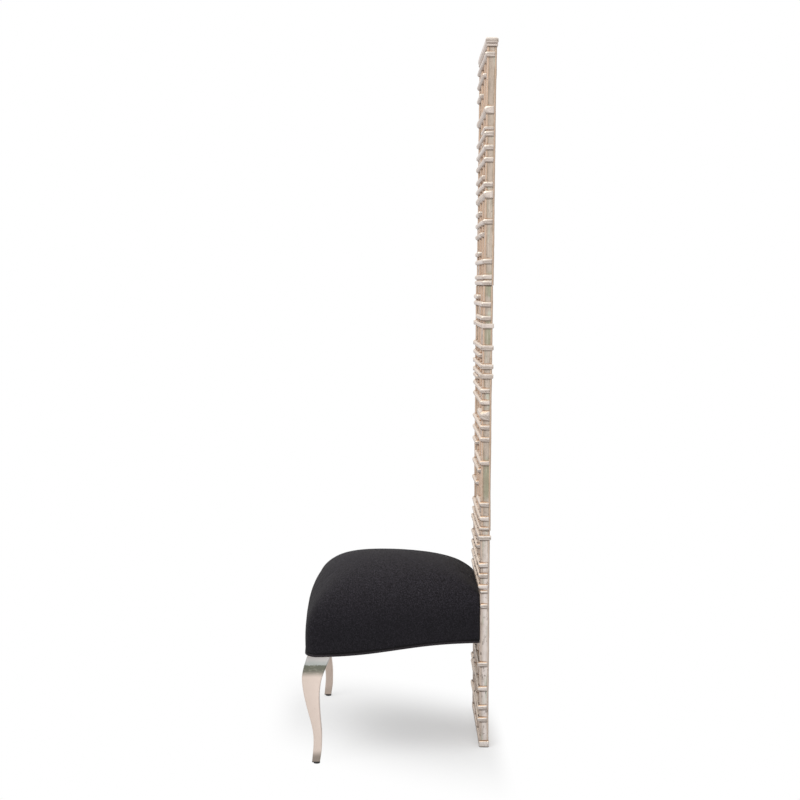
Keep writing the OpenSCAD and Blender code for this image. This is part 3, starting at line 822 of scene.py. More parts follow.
class BarMaker:
    """Geometry nodes that turn points with sizes into rounded, slightly uneven bars."""

    ROUND_CELLS = 2
    UNEVEN = 1.5 * MM
    BEND = 2.2 * MM
    INPUTS = {"Centres": "Geometry", "Cells X": "Int", "Cells Y": "Int", "Cells Z": "Int",
              "Round share": "Vector", "Uneven": "Float", "Bend": "Float", "Finish": "Material"}

    def __init__(self) -> None:
        """Builds the tree once for all groups of bars."""
        self.tree = bpy.data.node_groups.new("Rounded bars", "GeometryNodeTree")
        self.sockets = {name: self.tree.interface.new_socket(
            name=name, in_out="INPUT", socket_type=f"NodeSocket{kind}").identifier
            for name, kind in self.INPUTS.items()}
        self.tree.interface.new_socket(
            name="Bars", in_out="OUTPUT", socket_type="NodeSocketGeometry")
        self._build()

    def _build(self) -> None:
        """Lays out the nodes."""
        g = Graph(self.tree)
        take = g.outputs("NodeGroupInput")
        here = g.node("GeometryNodeInputPosition")
        cube = g.node("GeometryNodeMeshCube", {"Size": (2.0, 2.0, 2.0)} | {
            f"Vertices {axis}": take[f"Cells {axis}"] + 1.0 for axis in "XYZ"})
        cube = g.node("GeometryNodeStoreNamedAttribute", {
            "Geometry": cube, "Name": "unit", "Value": here},
            data_type="FLOAT_VECTOR", domain="POINT")
        bars = g.node("GeometryNodeInstanceOnPoints", {
            "Points": take["Centres"], "Instance": cube})
        bars = g.node("GeometryNodeRealizeInstances", {"Geometry": bars})
        unit, half, soft_front, soft_back = (
            self._named(g, name) for name in ("unit", "half", "soft_front", "soft_back"))
        side = g.ramp(g.parts(unit)[1], -0.5, 0.5)
        soft = g.node("ShaderNodeMix", {0: side, 4: soft_front, 5: soft_back}, 1,
                      data_type="VECTOR")
        one, size, share = (1.0, 1.0, 1.0), abs(unit), take["Round share"]
        flat = g.vector("MINIMUM", g.vector("DIVIDE", size, one - share), one)
        over = g.vector("DIVIDE", size - (one - share), share)
        shell = soft * g.vector("NORMALIZE", g.vector("MAXIMUM", over))
        local = g.vector("SIGN", unit) * ((half - soft) * flat + shell)
        turned = g.node("ShaderNodeVectorRotate", {
            "Vector": local, "Center": (0.0, 0.0, 0.0), "Angle": self._named(g, "lean", "FLOAT")},
            rotation_type="X_AXIS")
        bars = g.node("GeometryNodeSetPosition", {
            "Geometry": bars, "Position": here - unit + turned})
        grey = (0.5, 0.5, 0.5)
        fine = g.noise(here, 38.0, 2.0, 0.5, 1) - grey
        wide = g.noise(here, 7.0, 0.0, 0.5, 1) - grey
        bars = g.node("GeometryNodeSetPosition", {
            "Geometry": bars, "Offset": fine * take["Uneven"] + wide * take["Bend"]})
        bars = g.node("GeometryNodeSetShadeSmooth", {"Geometry": bars, "Shade Smooth": True})
        bars = g.node("GeometryNodeSetMaterial", {"Geometry": bars, "Material": take["Finish"]})
        g.node("NodeGroupOutput", {"Bars": bars})

    @staticmethod
    def _named(g: Graph, name: str, kind: str = "FLOAT_VECTOR") -> Signal:
        """Reads an attribute of the points."""
        return g.node("GeometryNodeInputNamedAttribute", {"Name": name}, data_type=kind)

    def mesh(self, name: str, bars: list[Bar], run: Run, finish: Material) -> Mesh:
        """Makes one mesh of many bars.

        Args:
            name: the mesh's name.
            bars: the bars.
            run: how they run, which sets their cells.
            finish: their material.

        Returns:
            The mesh, with its modifier already turned into plain geometry.
        """
        seeds = bpy.data.meshes.new(f"{name}_seeds")
        seeds.from_pydata([tuple(bar.centre) for bar in bars], [], [])
        for key in ("half", "soft_front", "soft_back"):
            column = seeds.attributes.new(key, "FLOAT_VECTOR", "POINT").data
            column.foreach_set("vector", [size for bar in bars for size in getattr(bar, key)])
        for key in ("lean", "tone"):
            column = seeds.attributes.new(key, "FLOAT", "POINT").data
            column.foreach_set("value", [getattr(bar, key) for bar in bars])
        carrier = placed(f"{name}_carrier", seeds)
        modifier = carrier.modifiers.new("Bars", "NODES")
        modifier.node_group = self.tree
        values = {f"Cells {axis}": cells for axis, cells in zip("XYZ", run.value)}
        values |= {"Round share": [2 * self.ROUND_CELLS / cells for cells in run.value],
                   "Uneven": self.UNEVEN, "Bend": self.BEND, "Finish": finish}
        for key, value in values.items():
            modifier[self.sockets[key]] = value
        made = evaluated(carrier)
        made.name = name
        carrier.modifiers.remove(modifier)
        bpy.data.objects.remove(carrier)
        for key in ("half", "soft_front", "soft_back", "lean"):
            made.attributes.remove(made.attributes[key])
        return made


@dataclass
class FretBack:
    """The tall back: stiles, inner uprights, posts, sticks and rails in three lengths."""

    upright_finish: Material
    stick_finish: Material
    lengths: tuple[str, ...] = ("lower", "middle", "upper")
    stick_count: int = 30
    stick_soft: float = 4 * MM
    stick_back_soft: float = 3 * MM
    post_soft: float = 3 * MM
    front_soft: float = 3.5 * MM
    back_soft: float = 6 * MM
    end_soft: float = 1.2 * MM
    nose_flat: float = 0.5 * MM
    pad: float = 5 * MM
    pad_flat: float = 0.3 * MM
    rail_soft: float = 7 * MM
    rail_split: float = 0.36
    rail_step: float = 1.2 * MM
    slab_tones: Pair = (-0.5, 0.95)
    bottom_tone: float = 0.1
    reach: float = 6 * MM
    tone_step: float = 0.618

    def __post_init__(self) -> None:
        """Measures the uprights and their lean in the frame."""
        self.maker = BarMaker()
        self.groups: list[tuple[str, Mesh, list[str], Run]] = []
        boxes = [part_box(f"left_stile_{length}") for length in self.lengths]
        self.depth = boxes[0][1].y - boxes[0][0].y
        self.leans = [-math.asin((high.y - low.y - self.depth) / (high.z - low.z))
                      for low, high in boxes]

    def upright(self, box: Box, lean: float) -> Bar:
        """Makes a stile or inner upright, as deep as the lowest one.

        Args:
            box: the box of the solid, which leans.
            lean: its angle about X.

        Returns:
            The bar, before it leans.
        """
        low, high = box
        centre = (low + high) / 2
        rise = (high.z - low.z - self.depth * math.sin(-lean)) / math.cos(lean)
        half = Vector(((high.x - low.x) / 2, self.depth / 2, rise / 2))
        return Bar(centre - half, centre + half, lean,
                   (self.front_soft, self.front_soft, self.end_soft),
                   (self.back_soft, self.back_soft, self.end_soft))

    def sticks(self, box: Box, lean: float, plain_depth: float, tone: float) -> list[Bar]:
        """Makes a stick, with a pad at each end where it is deeper than a plain one.

        Args:
            box: the stick's box.
            lean: its angle about X.
            plain_depth: depth of a stick without pads.
            tone: how pale it is, from 0 to 1.

        Returns:
            The stick and its pads.
        """
        low, high = box
        nose = (high.z - low.z) / 2 - self.nose_flat
        front = (self.stick_soft, nose, nose)
        back = (self.stick_soft, self.stick_back_soft, self.stick_back_soft)
        if high.y - low.y < plain_depth + self.depth / 8:
            return [Bar(low, high, lean, front, back, tone)]
        bars = [Bar(low, Vector((high.x, low.y + plain_depth, high.z)), lean, front, back, tone)]
        end = (self.pad / 2 - self.pad_flat, self.stick_back_soft, self.stick_back_soft)
        for x in (low.x, high.x - self.pad):
            corner = Vector((x + self.pad, high.y, high.z))
            bars.append(Bar(Vector((x, low.y, low.z)), corner, lean, end, end, tone))
        return bars

    def slabs(self, low: Vector, high: Vector) -> list[Bar]:
        """Makes the top rail as two layers, the lower one drawn in a little.

        Args:
            low: the rail's lowest corner.
            high: its highest corner.

        Returns:
            The lower and the upper layer.
        """
        split = low.z + (high.z - low.z) * self.rail_split
        step = Vector((self.rail_step, self.rail_step, 0.0))
        front, back = (self.stick_soft,) * 3, (self.stick_soft, self.rail_soft, self.stick_soft)
        lower_high = Vector((high.x, high.y, split)) - step
        return [Bar(low + step, lower_high, 0.0, front, front, self.slab_tones[0]),
                Bar(Vector((low.x, low.y, split)), high, 0.0, front, back, self.slab_tones[1])]

    def mark_contacts(self, mesh: Mesh, others: list[BVHTree]) -> None:
        """Stores on each point how near it lies to what it meets, and on which side.

        Args:
            mesh: the mesh to mark.
            others: search trees of the meshes that it meets.
        """
        rows: dict[str, list[float]] = {"contact": [], "above": [], "under": []}
        for vert in mesh.vertices:
            gap, rise = self.reach, 0.0
            for tree in others:
                found, _, _, away = tree.find_nearest(vert.co, self.reach)
                if found is not None and away < gap:
                    gap, rise = away, vert.co.z - found.z
            near = 1.0 - gap / self.reach
            share = rise / max(gap, HAIR)
            rows["contact"].append(near)
            rows["above"].append(near * max(share, 0.0))
            rows["under"].append(near * max(-share, 0.0))
        for key, values in rows.items():
            mesh.attributes.new(key, "FLOAT", "POINT").data.foreach_set("value", values)

    def search_trees(self, across: bool) -> list[BVHTree]:
        """Trees for nearest point searches on the groups that lie across, or on the others."""
        return [BVHTree.FromPolygons([v.co for v in mesh.vertices],
                                     [tuple(p.vertices) for p in mesh.polygons])
                for _, mesh, _, run in self.groups if (run is Run.ACROSS) == across]

    def add_group(self, name: str, bars: list[Bar], run: Run, nodes: list[str]) -> None:
        """Makes the mesh of a group of bars and keeps it until all are there.

        Args:
            name: the group's name.
            bars: its bars.
            run: how they run.
            nodes: the CAD nodes that they stand for.
        """
        finish = self.upright_finish if run is Run.UP else self.stick_finish
        self.groups.append((name, self.maker.mesh(name, bars, run, finish), nodes, run))

    def build(self) -> None:
        """Makes the back's meshes, marks where they meet and puts them in place."""
        cross = {f"cross_stick_{k:02d}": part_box(f"cross_stick_{k:02d}")
                 for k in range(1, self.stick_count + 1)}
        joints = [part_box(f"left_stile_{length}")[0].z for length in self.lengths[1:]]
        plain = min(high.y - low.y for low, high in cross.values() if low.z > joints[0])
        for k, (length, lean) in enumerate(zip(self.lengths, self.leans)):
            names = [name for name, (low, _) in cross.items()
                     if sum(low.z >= z - MM for z in joints) == k]
            boxes = [cross[name] for name in names] + solids_of(f"part_sticks_{length}")
            bars = [bar for i, box in enumerate(boxes, 1)
                    for bar in self.sticks(box, lean, plain, i * self.tone_step % 1.0)]
            self.add_group(
                f"sticks_{length}", bars, Run.ACROSS, names + [f"part_sticks_{length}"])
            tall = [f"{kind}_{length}" for kind in ("left_stile", "right_stile", "inner_uprights")]
            bars = [self.upright(box, lean) for name in tall for box in solids_of(name)]
            self.add_group(f"uprights_{length}", bars, Run.UP, tall)
        soft = (self.post_soft, self.post_soft, self.end_soft)
        bars = [Bar(*box, 0.0, soft, soft) for box in solids_of("short_posts")]
        self.add_group("posts", bars, Run.SHORT, ["short_posts"])
        soft = (self.stick_soft,) * 3
        bars = self.slabs(*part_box("top_rail"))
        bars.append(Bar(*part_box("bottom_rail"), 0.0, soft, soft, self.bottom_tone))
        self.add_group("rails", bars, Run.ACROSS, ["top_rail", "bottom_rail"])
        across, up = self.search_trees(True), self.search_trees(False)
        for name, mesh, nodes, run in self.groups:
            self.mark_contacts(mesh, up if run is Run.ACROSS else across)
            add_piece(f"fret_{name}", mesh, nodes)


@dataclass
class Seat:
    """The upholstered seat: a simulated wool cover and the welt along its hem."""

    cover_finish: Material
    welt_finish: Material
    depth: float = 0.488
    front_w: float = 0.690
    back_w: float = 0.380
    front_bow: float = 8 * MM
    side_bow: float = 6 * MM
    corner_r: float = 30 * MM
    hem_h: float = 0.3045
    hem_wave: float = 5 * MM
    wall_swell: float = 2 * MM
    shoulders: Triple = (0.355, 0.400, 0.447)
    fullness: Triple = (3.5, 1.85, 1.78)
    oval_rate: float = 0.7
    crown_in: float = 0.270
    welt_d: float = 7 * MM
    welt_out: float = 2 * MM
    welt_sides: int = 14
    seam_share: float = 0.85
    shrink: float = 2 * MM
    skirt: float = 15 * MM
    voxel: float = 5.5 * MM
    ease_from: float = 0.362
    ease_to: float = 0.415
    ease_rounds: int = 124
    rear_over: float = 8 * MM
    rear_ease: float = 50 * MM
    loft: float = 1.5 * MM
    corner_reach: float = 12 * MM
    corner_snap: float = 4 * MM
    pressure: float = 4.0
    bending: float = 2.0
    quality: int = 5
    frames: int = 20
    most_puff: float = 5 * MM
    back_gap: float = 0.4 * MM
    cover_fold: float = 3 * MM
    point_step: float = 8 * MM
    wall_rows: int = 14
    dome_rows: int = 40

    def __post_init__(self) -> None:
        """Takes the seat's place from the frame."""
        self.back_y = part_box("left_stile_lower")[0].y
        self.rear_y = self.back_y - self.back_gap
        self.front_y = self.back_y - self.depth
        self.crown_y = self.back_y - self.crown_in
        self.crown_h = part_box("seat_cover")[1].z + self.loft
        sticks = [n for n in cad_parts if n.startswith(("cross_stick_", "part_sticks_lower"))]
        self.noses = [(low, high) for n in sticks for low, high in solids_of(n)
                      if low.y < self.back_y - MM and self.hem_h < low.z < self.crown_h]

    def side_x(self, y: float, inset: float) -> float:
        """Half width of the seat at some depth, without its bow."""
        share = (y - self.front_y) / self.depth
        return (self.front_w + (self.back_w - self.front_w) * share) / 2 - inset

    def side_point(self, share: float, inset: float) -> Pair:
        """Point of the side edge, from the front corner to the back."""
        y = self.front_y + self.corner_r + share * (self.depth - self.corner_r - inset)
        return self.side_x(y, inset) + self.side_bow * math.sin(math.pi * share), y

    def right_plan(self, inset: float, over: float = 0.0) -> Plan:
        """Half of the seat's plan, from the middle of the front to the middle of the back.

        Args:
            inset: how far the plan is drawn in.
            over: how far it goes on past the back, where the cover is pressed flat.

        Returns:
            Points at nearly even steps.
        """
        radius = self.corner_r - inset
        flat = self.side_point(0.0, inset)[0] - radius
        steps = round(self.front_w / 2 / self.point_step)
        points = []
        for share in (k / steps for k in range(steps)):
            bow = self.front_bow * (1 - share ** 2)
            points.append((flat * share, self.front_y + inset - bow))
        turns = round(self.corner_r * math.pi / 2 / self.point_step)
        for k in range(turns + 1):
            angle = math.pi / 2 * (k / turns - 1)
            points.append((flat + radius * math.cos(angle),
                           self.front_y + self.corner_r + radius * math.sin(angle)))
        steps = round((self.depth - self.corner_r) / self.point_step)
        reach = 1 + over / (self.depth - self.corner_r)
        points += [self.side_point(reach * k / steps, inset) for k in range(1, steps + 1)]
        rear_x, rear_y = points[-1][0], self.back_y - inset + over
        steps = round(self.back_w / 2 / self.point_step)
        return points + [(rear_x * (1 - k / steps), rear_y) for k in range(1, steps)]

    def plan(self, inset: float) -> Plan:
        """The whole plan of the seat, once round and a little past the back.

        Args:
            inset: how far the plan is drawn in.

        Returns:
            Points at nearly even steps.
        """
        half = self.right_plan(inset, self.rear_over)
        mirrored = [(-x, y) for x, y in reversed(half[1:])]
        return half + [(0.0, self.back_y - inset + self.rear_over)] + mirrored

    def hem_z(self, y: float) -> float:
        """Height of the seat's lowest edge at some depth."""
        return self.hem_h - self.hem_wave * math.sin(2 * math.pi * (y - self.front_y) / self.depth)

    def around(self, x: float, y: float, values: Triple) -> float:
        """Mean of values for the front, the sides and the back, as seen from the crown.

        Args:
            x: place across of the point that is looked at.
            y: its place in depth.
            values: what holds straight ahead, to each side and straight behind.

        Returns:
            The mean for the direction of that point.
        """
        ahead, beside, behind = values
        run = (y - self.crown_y) / math.hypot(x, y - self.crown_y)
        share = run * run
        return share * (ahead if run < 0 else behind) + (1 - share) * beside

    def rim_z(self, x: float, y: float, inset: float) -> float:
        """Height at which the wall turns into the dome."""
        return self.around(x, y, self.shoulders) - inset

    def dome_point(self, x: float, y: float, scale: float, inset: float) -> Vector:
        """Point of the dome over a share of the way out to a plan point.

        Args:
            x: the plan point's place across.
            y: the plan point's place in depth.
            scale: share of the way out, from 0 at the crown to 1 at the rim.
            inset: how far the dome is drawn in.

        Returns:
            The point.
        """
        off = Vector((x, y - self.crown_y))
        ray = off.normalized()
        half = self.side_x(self.crown_y, inset)
        ahead = self.crown_y - self.front_y - inset
        behind = self.back_y - inset + self.rear_over - self.crown_y
        oval = 1 / math.hypot(ray.x / half, ray.y / (ahead if ray.y < 0 else behind))
        mix = (1 - scale) ** self.oval_rate
        flat = scale * (off * (1 - mix) + ray * oval * mix)
        rise = max(1 - scale * scale, 0.0) ** (1 / self.around(x, y, self.fullness))
        low = self.rim_z(x, y, inset)
        return Vector((flat.x, self.crown_y + flat.y, low + (self.crown_h - inset - low) * rise))

    def wall_point(self, x: float, y: float, share: float, inset: float) -> Vector:
        """Point of the wall above or below a plan point.

        Args:
            x: the plan point's place across.
            y: the plan point's place in depth.
            share: share of the way up, from 0 at the hem to 1 at the rim.
            inset: how far the rim is drawn in.

        Returns:
            The point.
        """
        off = Vector((x, y - self.crown_y)).normalized()
        out = off * self.wall_swell * math.sin(math.pi * clamp(share))
        low = self.hem_z(y)
        z = low + (self.rim_z(x, y, inset) - low) * share
        return Vector((x + out.x, y + min(out.y, 0.0), z))

    def raw_pad(self) -> Mesh:
        """Makes the seat as a closed form.

        Returns:
            Its mesh, a little smaller than the cover and longer below.
        """
        rings = [[Vector((x, y, self.hem_z(y) - self.skirt)) for x, y in self.plan(0.0)]]
        for share in (k / self.wall_rows for k in range(self.wall_rows)):
            inset = self.shrink * share
            rings.append([self.wall_point(x, y, share, inset) for x, y in self.plan(inset)])
        inner = self.plan(self.shrink)
        for k in range(self.dome_rows):
            scale = math.cos(math.pi / 2 * k / self.dome_rows)
            rings.append([self.dome_point(x, y, scale, self.shrink) for x, y in inner])
        return skin(rings, "seat_form")

    @staticmethod
    def applied(carrier: bpy.types.Object) -> Mesh:
        """Turns an object's modifiers into plain geometry and takes them off.

        Args:
            carrier: the object.

        Returns:
            Its new mesh.
        """
        mesh = evaluated(carrier)
        carrier.modifiers.clear()
        carrier.data = mesh
        return mesh

    def simulated(self, form: Mesh) -> Mesh:
        """Remeshes the pad, eases its ridges and lets it swell like stuffed cloth.

        Args:
            form: the closed form.

        Returns:
            The swollen mesh, each point moved by a limited way.
        """
        carrier = placed("seat_carrier", form)
        remesh = carrier.modifiers.new("Even cells", "REMESH")
        remesh.mode = "VOXEL"
        remesh.voxel_size = self.voxel
        mesh = self.applied(carrier)
        eased = carrier.vertex_groups.new(name="eased")
        for vert in mesh.vertices:
            height = (vert.co.z - self.ease_from) / (self.ease_to - self.ease_from)
            behind = (self.back_y - vert.co.y) / self.rear_ease
            eased.add([vert.index], clamp(min(height, behind)), "REPLACE")
        ease = carrier.modifiers.new("Ease", "SMOOTH")
        ease.factor = 0.5
        ease.iterations = self.ease_rounds
        ease.vertex_group = eased.name
        mesh = self.applied(carrier)
        mesh = self.swollen(carrier, mesh)
        bpy.data.objects.remove(carrier)
        for vert in mesh.vertices:
            self.square(vert)
        return mesh

    def swollen(self, carrier: bpy.types.Object, mesh: Mesh) -> Mesh:
        """Runs the cloth under pressure, held along the hem.

        Args:
            carrier: the object that carries the mesh.
            mesh: the mesh before it swells.

        Returns:
            The mesh after it, with each point's way limited.
        """
        before = [v.co.copy() for v in mesh.vertices]
        held = carrier.vertex_groups.new(name="held")
        low = [v.index for v in mesh.vertices if v.co.z < self.hem_z(v.co.y) + 2 * self.welt_d]
        held.add(low, 1.0, "REPLACE")
        cloth = carrier.modifiers.new("Stuffing", "CLOTH")
        cloth.settings.use_pressure = True
        cloth.settings.uniform_pressure_force = self.pressure
        cloth.settings.vertex_group_mass = held.name
        cloth.settings.effector_weights.gravity = 0.0
        cloth.settings.quality = self.quality
        cloth.settings.bending_stiffness = self.bending
        cloth.point_cache.frame_start = 1
        cloth.point_cache.frame_end = self.frames
        scene = bpy.context.scene
        for number in range(1, self.frames + 1):
            scene.frame_set(number)
        after = self.applied(carrier)
        scene.frame_set(1)
        for vert, start in zip(after.vertices, before):
            move = vert.co - start
            way = move.length
            if way > 0:
                limited = self.most_puff * (1 - math.exp(-way / self.most_puff))
                vert.co = start + move * (limited / way)
        return after

    def square(self, vert: bpy.types.MeshVertex) -> None:
        """Keeps a point before the back and its sticks, and the two rear corners sharp.

        Args:
            vert: the point, which is moved.
        """
        behind = self.rear_y - vert.co.y
        share = (vert.co.y - self.front_y - self.corner_r) / (self.depth - self.corner_r)
        beside = self.side_point(clamp(share), 0.0)[0] - abs(vert.co.x)
        if 0 < behind < self.corner_reach and 0 < beside < self.corner_reach:
            near = max(behind, beside) < self.corner_snap
            if near or beside < behind:
                vert.co.x += math.copysign(beside, vert.co.x)
            if near or behind <= beside:
                vert.co.y += behind
        vert.co.y = min(vert.co.y, self.rear_y)
        for low, high in self.noses:
            if low.z - MM < vert.co.z < high.z + MM and low.x < vert.co.x < high.x:
                vert.co.y = min(vert.co.y, low.y - self.back_gap)

    def trimmed(self, mesh: Mesh) -> None:
        """Opens the underside along the hem, folds the edge in and marks the seam there.

        Args:
            mesh: the cover, which is changed.
        """
        shape = bmesh.new()
        shape.from_mesh(mesh)
        edge = self.welt_d * self.seam_share
        low = [v for v in shape.verts if v.co.z < self.hem_z(v.co.y) + edge]
        bmesh.ops.delete(shape, geom=low, context="VERTS")
        rim = [e for e in shape.edges if e.is_boundary]
        for vert in {v for e in rim for v in e.verts}:
            vert.co.z = self.hem_z(vert.co.y) + edge
        seam = shape.verts.layers.float.new("seam")
        for inward, up in ((self.cover_fold, 0.0), (0.0, 4 * self.cover_fold)):
            for vert in {v for e in rim for v in e.verts}:
                vert[seam] = 1.0
            out = bmesh.ops.extrude_edge_only(shape, edges=rim)["geom"]
            rim = [g for g in out if isinstance(g, bmesh.types.BMEdge) and g.is_boundary]
            for vert in {v for e in rim for v in e.verts}:
                middle = Vector((0.0, self.crown_y, vert.co.z))
                vert.co += (middle - vert.co).normalized() * inward
                vert.co.z += up
        bmesh.ops.recalc_face_normals(shape, faces=shape.faces)
        crease = shape.edges.layers.float.new("crease_edge")
        for side in shape.edges:
            flat = all(v.co.y > self.rear_y - HAIR for v in side.verts)
            if flat and any(f.normal.y < 0.5 for f in side.link_faces):
                side[crease] = 1.0
        shape.to_mesh(mesh)
        shape.free()
        mesh.shade_smooth()

    def welt_mesh(self) -> Mesh:
        """Makes the cord that follows the hem round the front and the two sides.

        Returns:
            Its mesh.
        """
        half = [p for p in self.right_plan(0.0) if p[1] < self.back_y - 0.1 * MM]
        half.append(self.side_point(1.0, 0.0))
        path = [(-x, y) for x, y in reversed(half[1:])] + half
        radius = self.welt_d / 2
        turns = [2 * math.pi * i / self.welt_sides for i in range(self.welt_sides)]
        rings = []
        for last, (x, y), after in zip(path[:1] + path, path, path[1:] + path[-1:]):
            along = Vector((after[0] - last[0], after[1] - last[1])).normalized()
            out = Vector((along.y, -along.x))
            mid = Vector((x, y)) + out * (self.welt_out - radius)
            ring = []
            for angle in turns:
                flat = mid + out * radius * math.cos(angle)
                height = self.hem_z(y) + radius + radius * math.sin(angle)
                ring.append(Vector((flat.x, min(flat.y, self.rear_y), height)))
            rings.append(ring)
        return skin(rings, "welt")

    def build(self) -> None:
        """Makes the cover and the welt and puts them in place."""
        mesh = self.simulated(self.raw_pad())
        self.trimmed(mesh)
        mesh.name = "seat_pad"
        pad = add_piece(
            "seat_pad", mesh, ["seat_cover", "seat_foam"], self.cover_finish)
        subdivided = pad.modifiers.new("Smooth", "SUBSURF")
        subdivided.levels = 1
        subdivided.render_levels = 1
        add_piece("seat_welt_cord", self.welt_mesh(), ["seat_welt"], self.welt_finish)


@dataclass
class FrontLegs:
    """The two curved front legs, lofted through a side view.

    Each row is a share of the height, the reach in front and the reach behind, in millimetres.
    """

    material: Material
    foot_w: float = 25 * MM
    top_w: float = 42 * MM
    lean_in: float = 26 * MM
    edge_r: float = 4.5 * MM
    widening: float = 1.6
    rows: tuple[Triple, ...] = (
        (0, 13, 9), (0.10, 10, 13.5), (0.18, 8.5, 14.5), (0.27, 10, 14.5), (0.36, 15.5, 12),
        (0.46, 24, 9.5), (0.57, 32.5, 8), (0.665, 38, 9.5), (0.755, 40.5, 15),
        (0.835, 37, 24), (0.91, 30, 34), (0.96, 24.5, 42), (1, 21.5, 49))
    row_steps: int = 8
    arc_steps: int = 6

    def curve(self) -> list[Triple]:
        """Draws a smooth curve through the rows.

        Returns:
            Rows at finer steps.
        """
        rows = self.rows
        last = len(rows) - 1
        made = []
        for i in range(last):
            a, b, c, d = (rows[max(0, min(k, last))] for k in (i - 1, i, i + 1, i + 2))
            for t in (k / self.row_steps for k in range(self.row_steps)):
                made.append(tuple(
                    0.5 * (2 * q + (r - p) * t + (2 * p - 5 * q + 4 * r - s) * t * t
                           + (3 * q - p - 3 * r + s) * t ** 3)
                    for p, q, r, s in zip(a, b, c, d)))
        return made + [rows[last]]

    def ring(self, x: float, half_w: float, front: float, back: float, z: float) -> list[Vector]:
        """Makes a rounded section of the leg.

        Args:
            x: its middle across.
            half_w: half of its width.
            front: its front edge.
            back: its rear edge.
            z: its height.

        Returns:
            Its points, once round.
        """
        r = self.edge_r
        corners = ((x + half_w - r, front + r, -90), (x + half_w - r, back - r, 0),
                   (x - half_w + r, back - r, 90), (x - half_w + r, front + r, 180))
        points = []
        for cx, cy, turn in corners:
            for k in range(self.arc_steps + 1):
                angle = math.radians(turn + 90 * k / self.arc_steps)
                points.append(Vector((cx + r * math.cos(angle), cy + r * math.sin(angle), z)))
        return points

    def build(self) -> None:
        """Lofts both legs and puts them in place."""
        low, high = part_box("left_leg")
        glide_low, glide_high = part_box("glides")
        foot_x = glide_high.x - (glide_high.y - glide_low.y) / 2
        foot_y = (glide_low.y + glide_high.y) / 2
        for side, name in ((1, "left_leg"), (-1, "right_leg")):
            rings = []
            for share, ahead, behind in self.curve():
                x = side * (foot_x - self.lean_in * share ** 2)
                half_w = (self.foot_w + (self.top_w - self.foot_w) * share ** self.widening) / 2
                rings.append(self.ring(x, half_w, foot_y - ahead * MM, foot_y + behind * MM,
                                       low.z + (high.z - low.z) * share))
            add_piece(f"{name}_leafed", skin(rings, name), [name], self.material)


@dataclass
class HiddenParts:
    """Dresses the pieces that keep their CAD shape: frame, deck, cloth, bolts, glides."""

    timber: Material
    ply: Material
    cloth: Material
    zinc: Material
    nylon: Material

    def build(self) -> None:
        """Gives each of these nodes its finish."""
        rails = ("front_rail", "rear_rail", "left_side_rail", "right_side_rail", "corner_blocks")
        choice = {name: self.timber for name in rails} | {
            "seat_deck": self.ply, "dust_cloth": self.cloth, "bolts": self.zinc,
            "glides": self.nylon}
        for name, material in choice.items():
            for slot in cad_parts[name].material_slots:
                slot.material = material
            log.info("%s: %s", name, material.name)


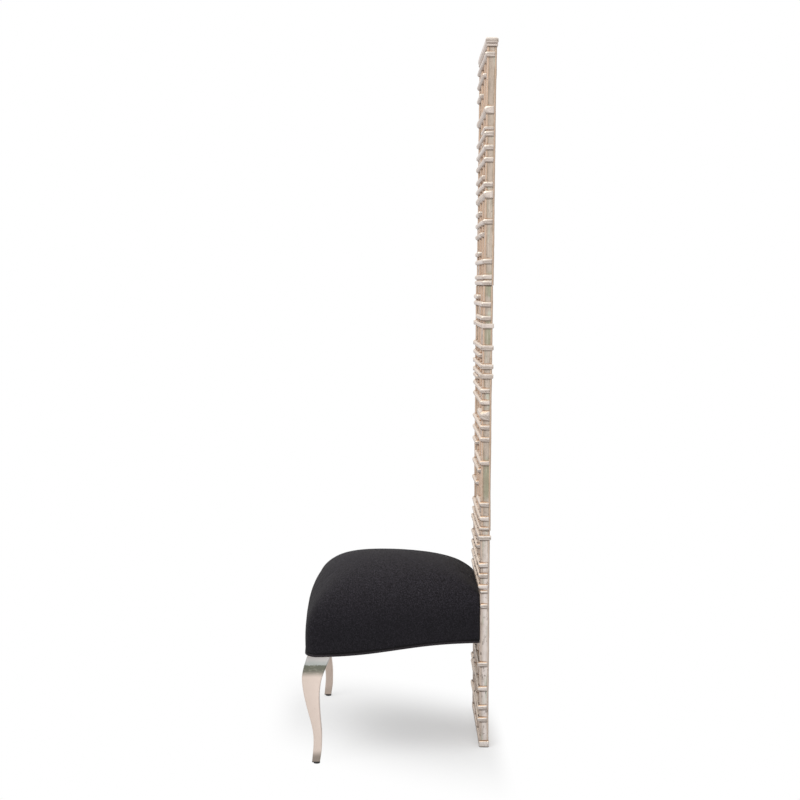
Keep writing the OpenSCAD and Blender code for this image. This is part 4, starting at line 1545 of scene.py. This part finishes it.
@dataclass
class Studio:
    """Camera, floor and soft light."""

    camera_at: Triple = (4.065, 0.0, 1.321)
    camera_tilt: float = 85.26
    lens: float = 62.3
    sensor: float = 36.0
    floor_side: float = 40.0
    floor_dark: Colour = paint("F2F2F2")
    floor_light: Colour = paint("F6F6F6")
    floor_specks: Grain = Grain(40.0, 3.0)
    shade_at: Triple = (0.05, 0.08, 0.0)
    shade_x: float = 0.66
    shade_y: float = 0.56
    shade_skew: float = 0.8
    shade_share: float = 0.60
    shade_rear: Pair = (0.315, 0.245)
    shade_front: Pair = (-0.42, -0.30)
    sky: float = 0.66
    lamp_side: float = 3.0
    key_watts: float = 85.0
    fill_watts: float = 44.0

    def camera(self) -> None:
        """Stands the camera level with the middle of the back, as in the photograph."""
        data = bpy.data.cameras.new("camera")
        data.lens = self.lens
        data.sensor_width = self.sensor
        camera = placed("camera", data)
        camera.location = self.camera_at
        camera.rotation_euler = (math.radians(self.camera_tilt), 0.0, math.radians(90))
        bpy.context.scene.camera = camera

    def world(self) -> None:
        """White to the camera and in reflections, a softer level as light."""
        world = bpy.data.worlds.new("studio")
        world.use_nodes = True
        g = Graph(world.node_tree)
        level = g.seen("Camera", "Glossy", "Transmission") * (1.0 - self.sky) + self.sky
        back = g.node("ShaderNodeBackground", {"Color": (1, 1, 1, 1), "Strength": level})
        g.node("ShaderNodeOutputWorld", {"Surface": back})
        bpy.context.scene.world = world

    def floor(self) -> None:
        """A pale floor that keeps the chair's shadow."""
        half = self.floor_side / 2
        mesh = bpy.data.meshes.new("floor")
        mesh.from_pydata([(-half, -half, 0), (half, -half, 0), (half, half, 0), (-half, half, 0)],
                         [], [(0, 1, 2, 3)])
        p = Paint("floor")
        ahead, beside, _ = p.parts(p.place() - self.shade_at)
        off = p.node("ShaderNodeCombineXYZ", {0: ahead, 1: beside - ahead * self.shade_skew})
        off = off * (1 / self.shade_x, 1 / self.shade_y, 0.0)
        lit = p.ramp(p.vector("LENGTH", off, output=1), 1.1, 0.1) * self.shade_share
        depth = p.parts(p.place())[1]
        lit = lit * p.ramp(depth, *self.shade_rear) * p.ramp(depth, *self.shade_front)
        pale = p.tint(self.floor_dark, self.floor_light, p.grain(self.floor_specks))
        matt = p.node("ShaderNodeBsdfDiffuse", {"Color": pale})
        white = p.node("ShaderNodeEmission", {"Color": (1, 1, 1, 1), "Strength": 1.0})
        share = p.seen("Camera", "Glossy") * (1.0 - lit)
        both = p.node("ShaderNodeMixShader", {0: share, 1: matt, 2: white})
        p.node("ShaderNodeOutputMaterial", {"Surface": both})
        mesh.materials.append(p.material)
        placed("floor", mesh)

    def lamp(self, name: str, at: Triple, aim: Triple, watts: float) -> None:
        """Adds a square soft light.

        Args:
            name: its name.
            at: where it stands.
            aim: the point that it faces.
            watts: its power.
        """
        data = bpy.data.lights.new(name, "AREA")
        data.shape = "SQUARE"
        data.size = self.lamp_side
        data.energy = watts
        lamp = placed(name, data)
        lamp.location = at
        lamp.rotation_euler = (Vector(aim) - Vector(at)).to_track_quat("-Z", "Y").to_euler()

    def build(self) -> None:
        """Sets up the whole studio."""
        self.camera()
        self.world()
        self.floor()
        self.lamp("key", (2.2, -2.6, 4.6), (0.0, 0.0, 0.9), self.key_watts)
        self.lamp("fill", (4.5, 1.2, 1.2), (0.0, 0.0, 1.0), self.fill_watts)
        bpy.context.scene.view_settings.view_transform = "Standard"


def main() -> None:
    """Builds the studio and the chair, and reports each piece."""
    logging.basicConfig(level=logging.INFO, format="%(name)s: %(message)s")
    Studio().build()
    FretBack(
        upright_finish=UprightFinish("leaf_uprights").material(),
        stick_finish=StickFinish("leaf_sticks").material(),
    ).build()
    Seat(
        cover_finish=WoolFinish("wool").material(),
        welt_finish=WoolFinish("wool_cord", dark=paint("302B2E")).material(),
    ).build()
    FrontLegs(LegFinish("leaf_leg").material()).build()
    lining = PlainFinish(
        "dust_cloth", paint("1B1B1C"), paint("262627"), 0.9, grain=Grain(900.0, 3.0, 0.6))
    HiddenParts(
        timber=TimberFinish("beech").material(),
        ply=TimberFinish("plywood", paint("DCC49C"), paint("C4A272"), rings=40.0).material(),
        cloth=lining.material(),
        zinc=PlainFinish("zinc", paint("BFC0C2"), paint("9FA1A4"), 0.35, metal=1.0).material(),
        nylon=PlainFinish("nylon", paint("1A1A1B"), paint("222223"), 0.45).material(),
    ).build()


if __name__ == "__main__":
    main()
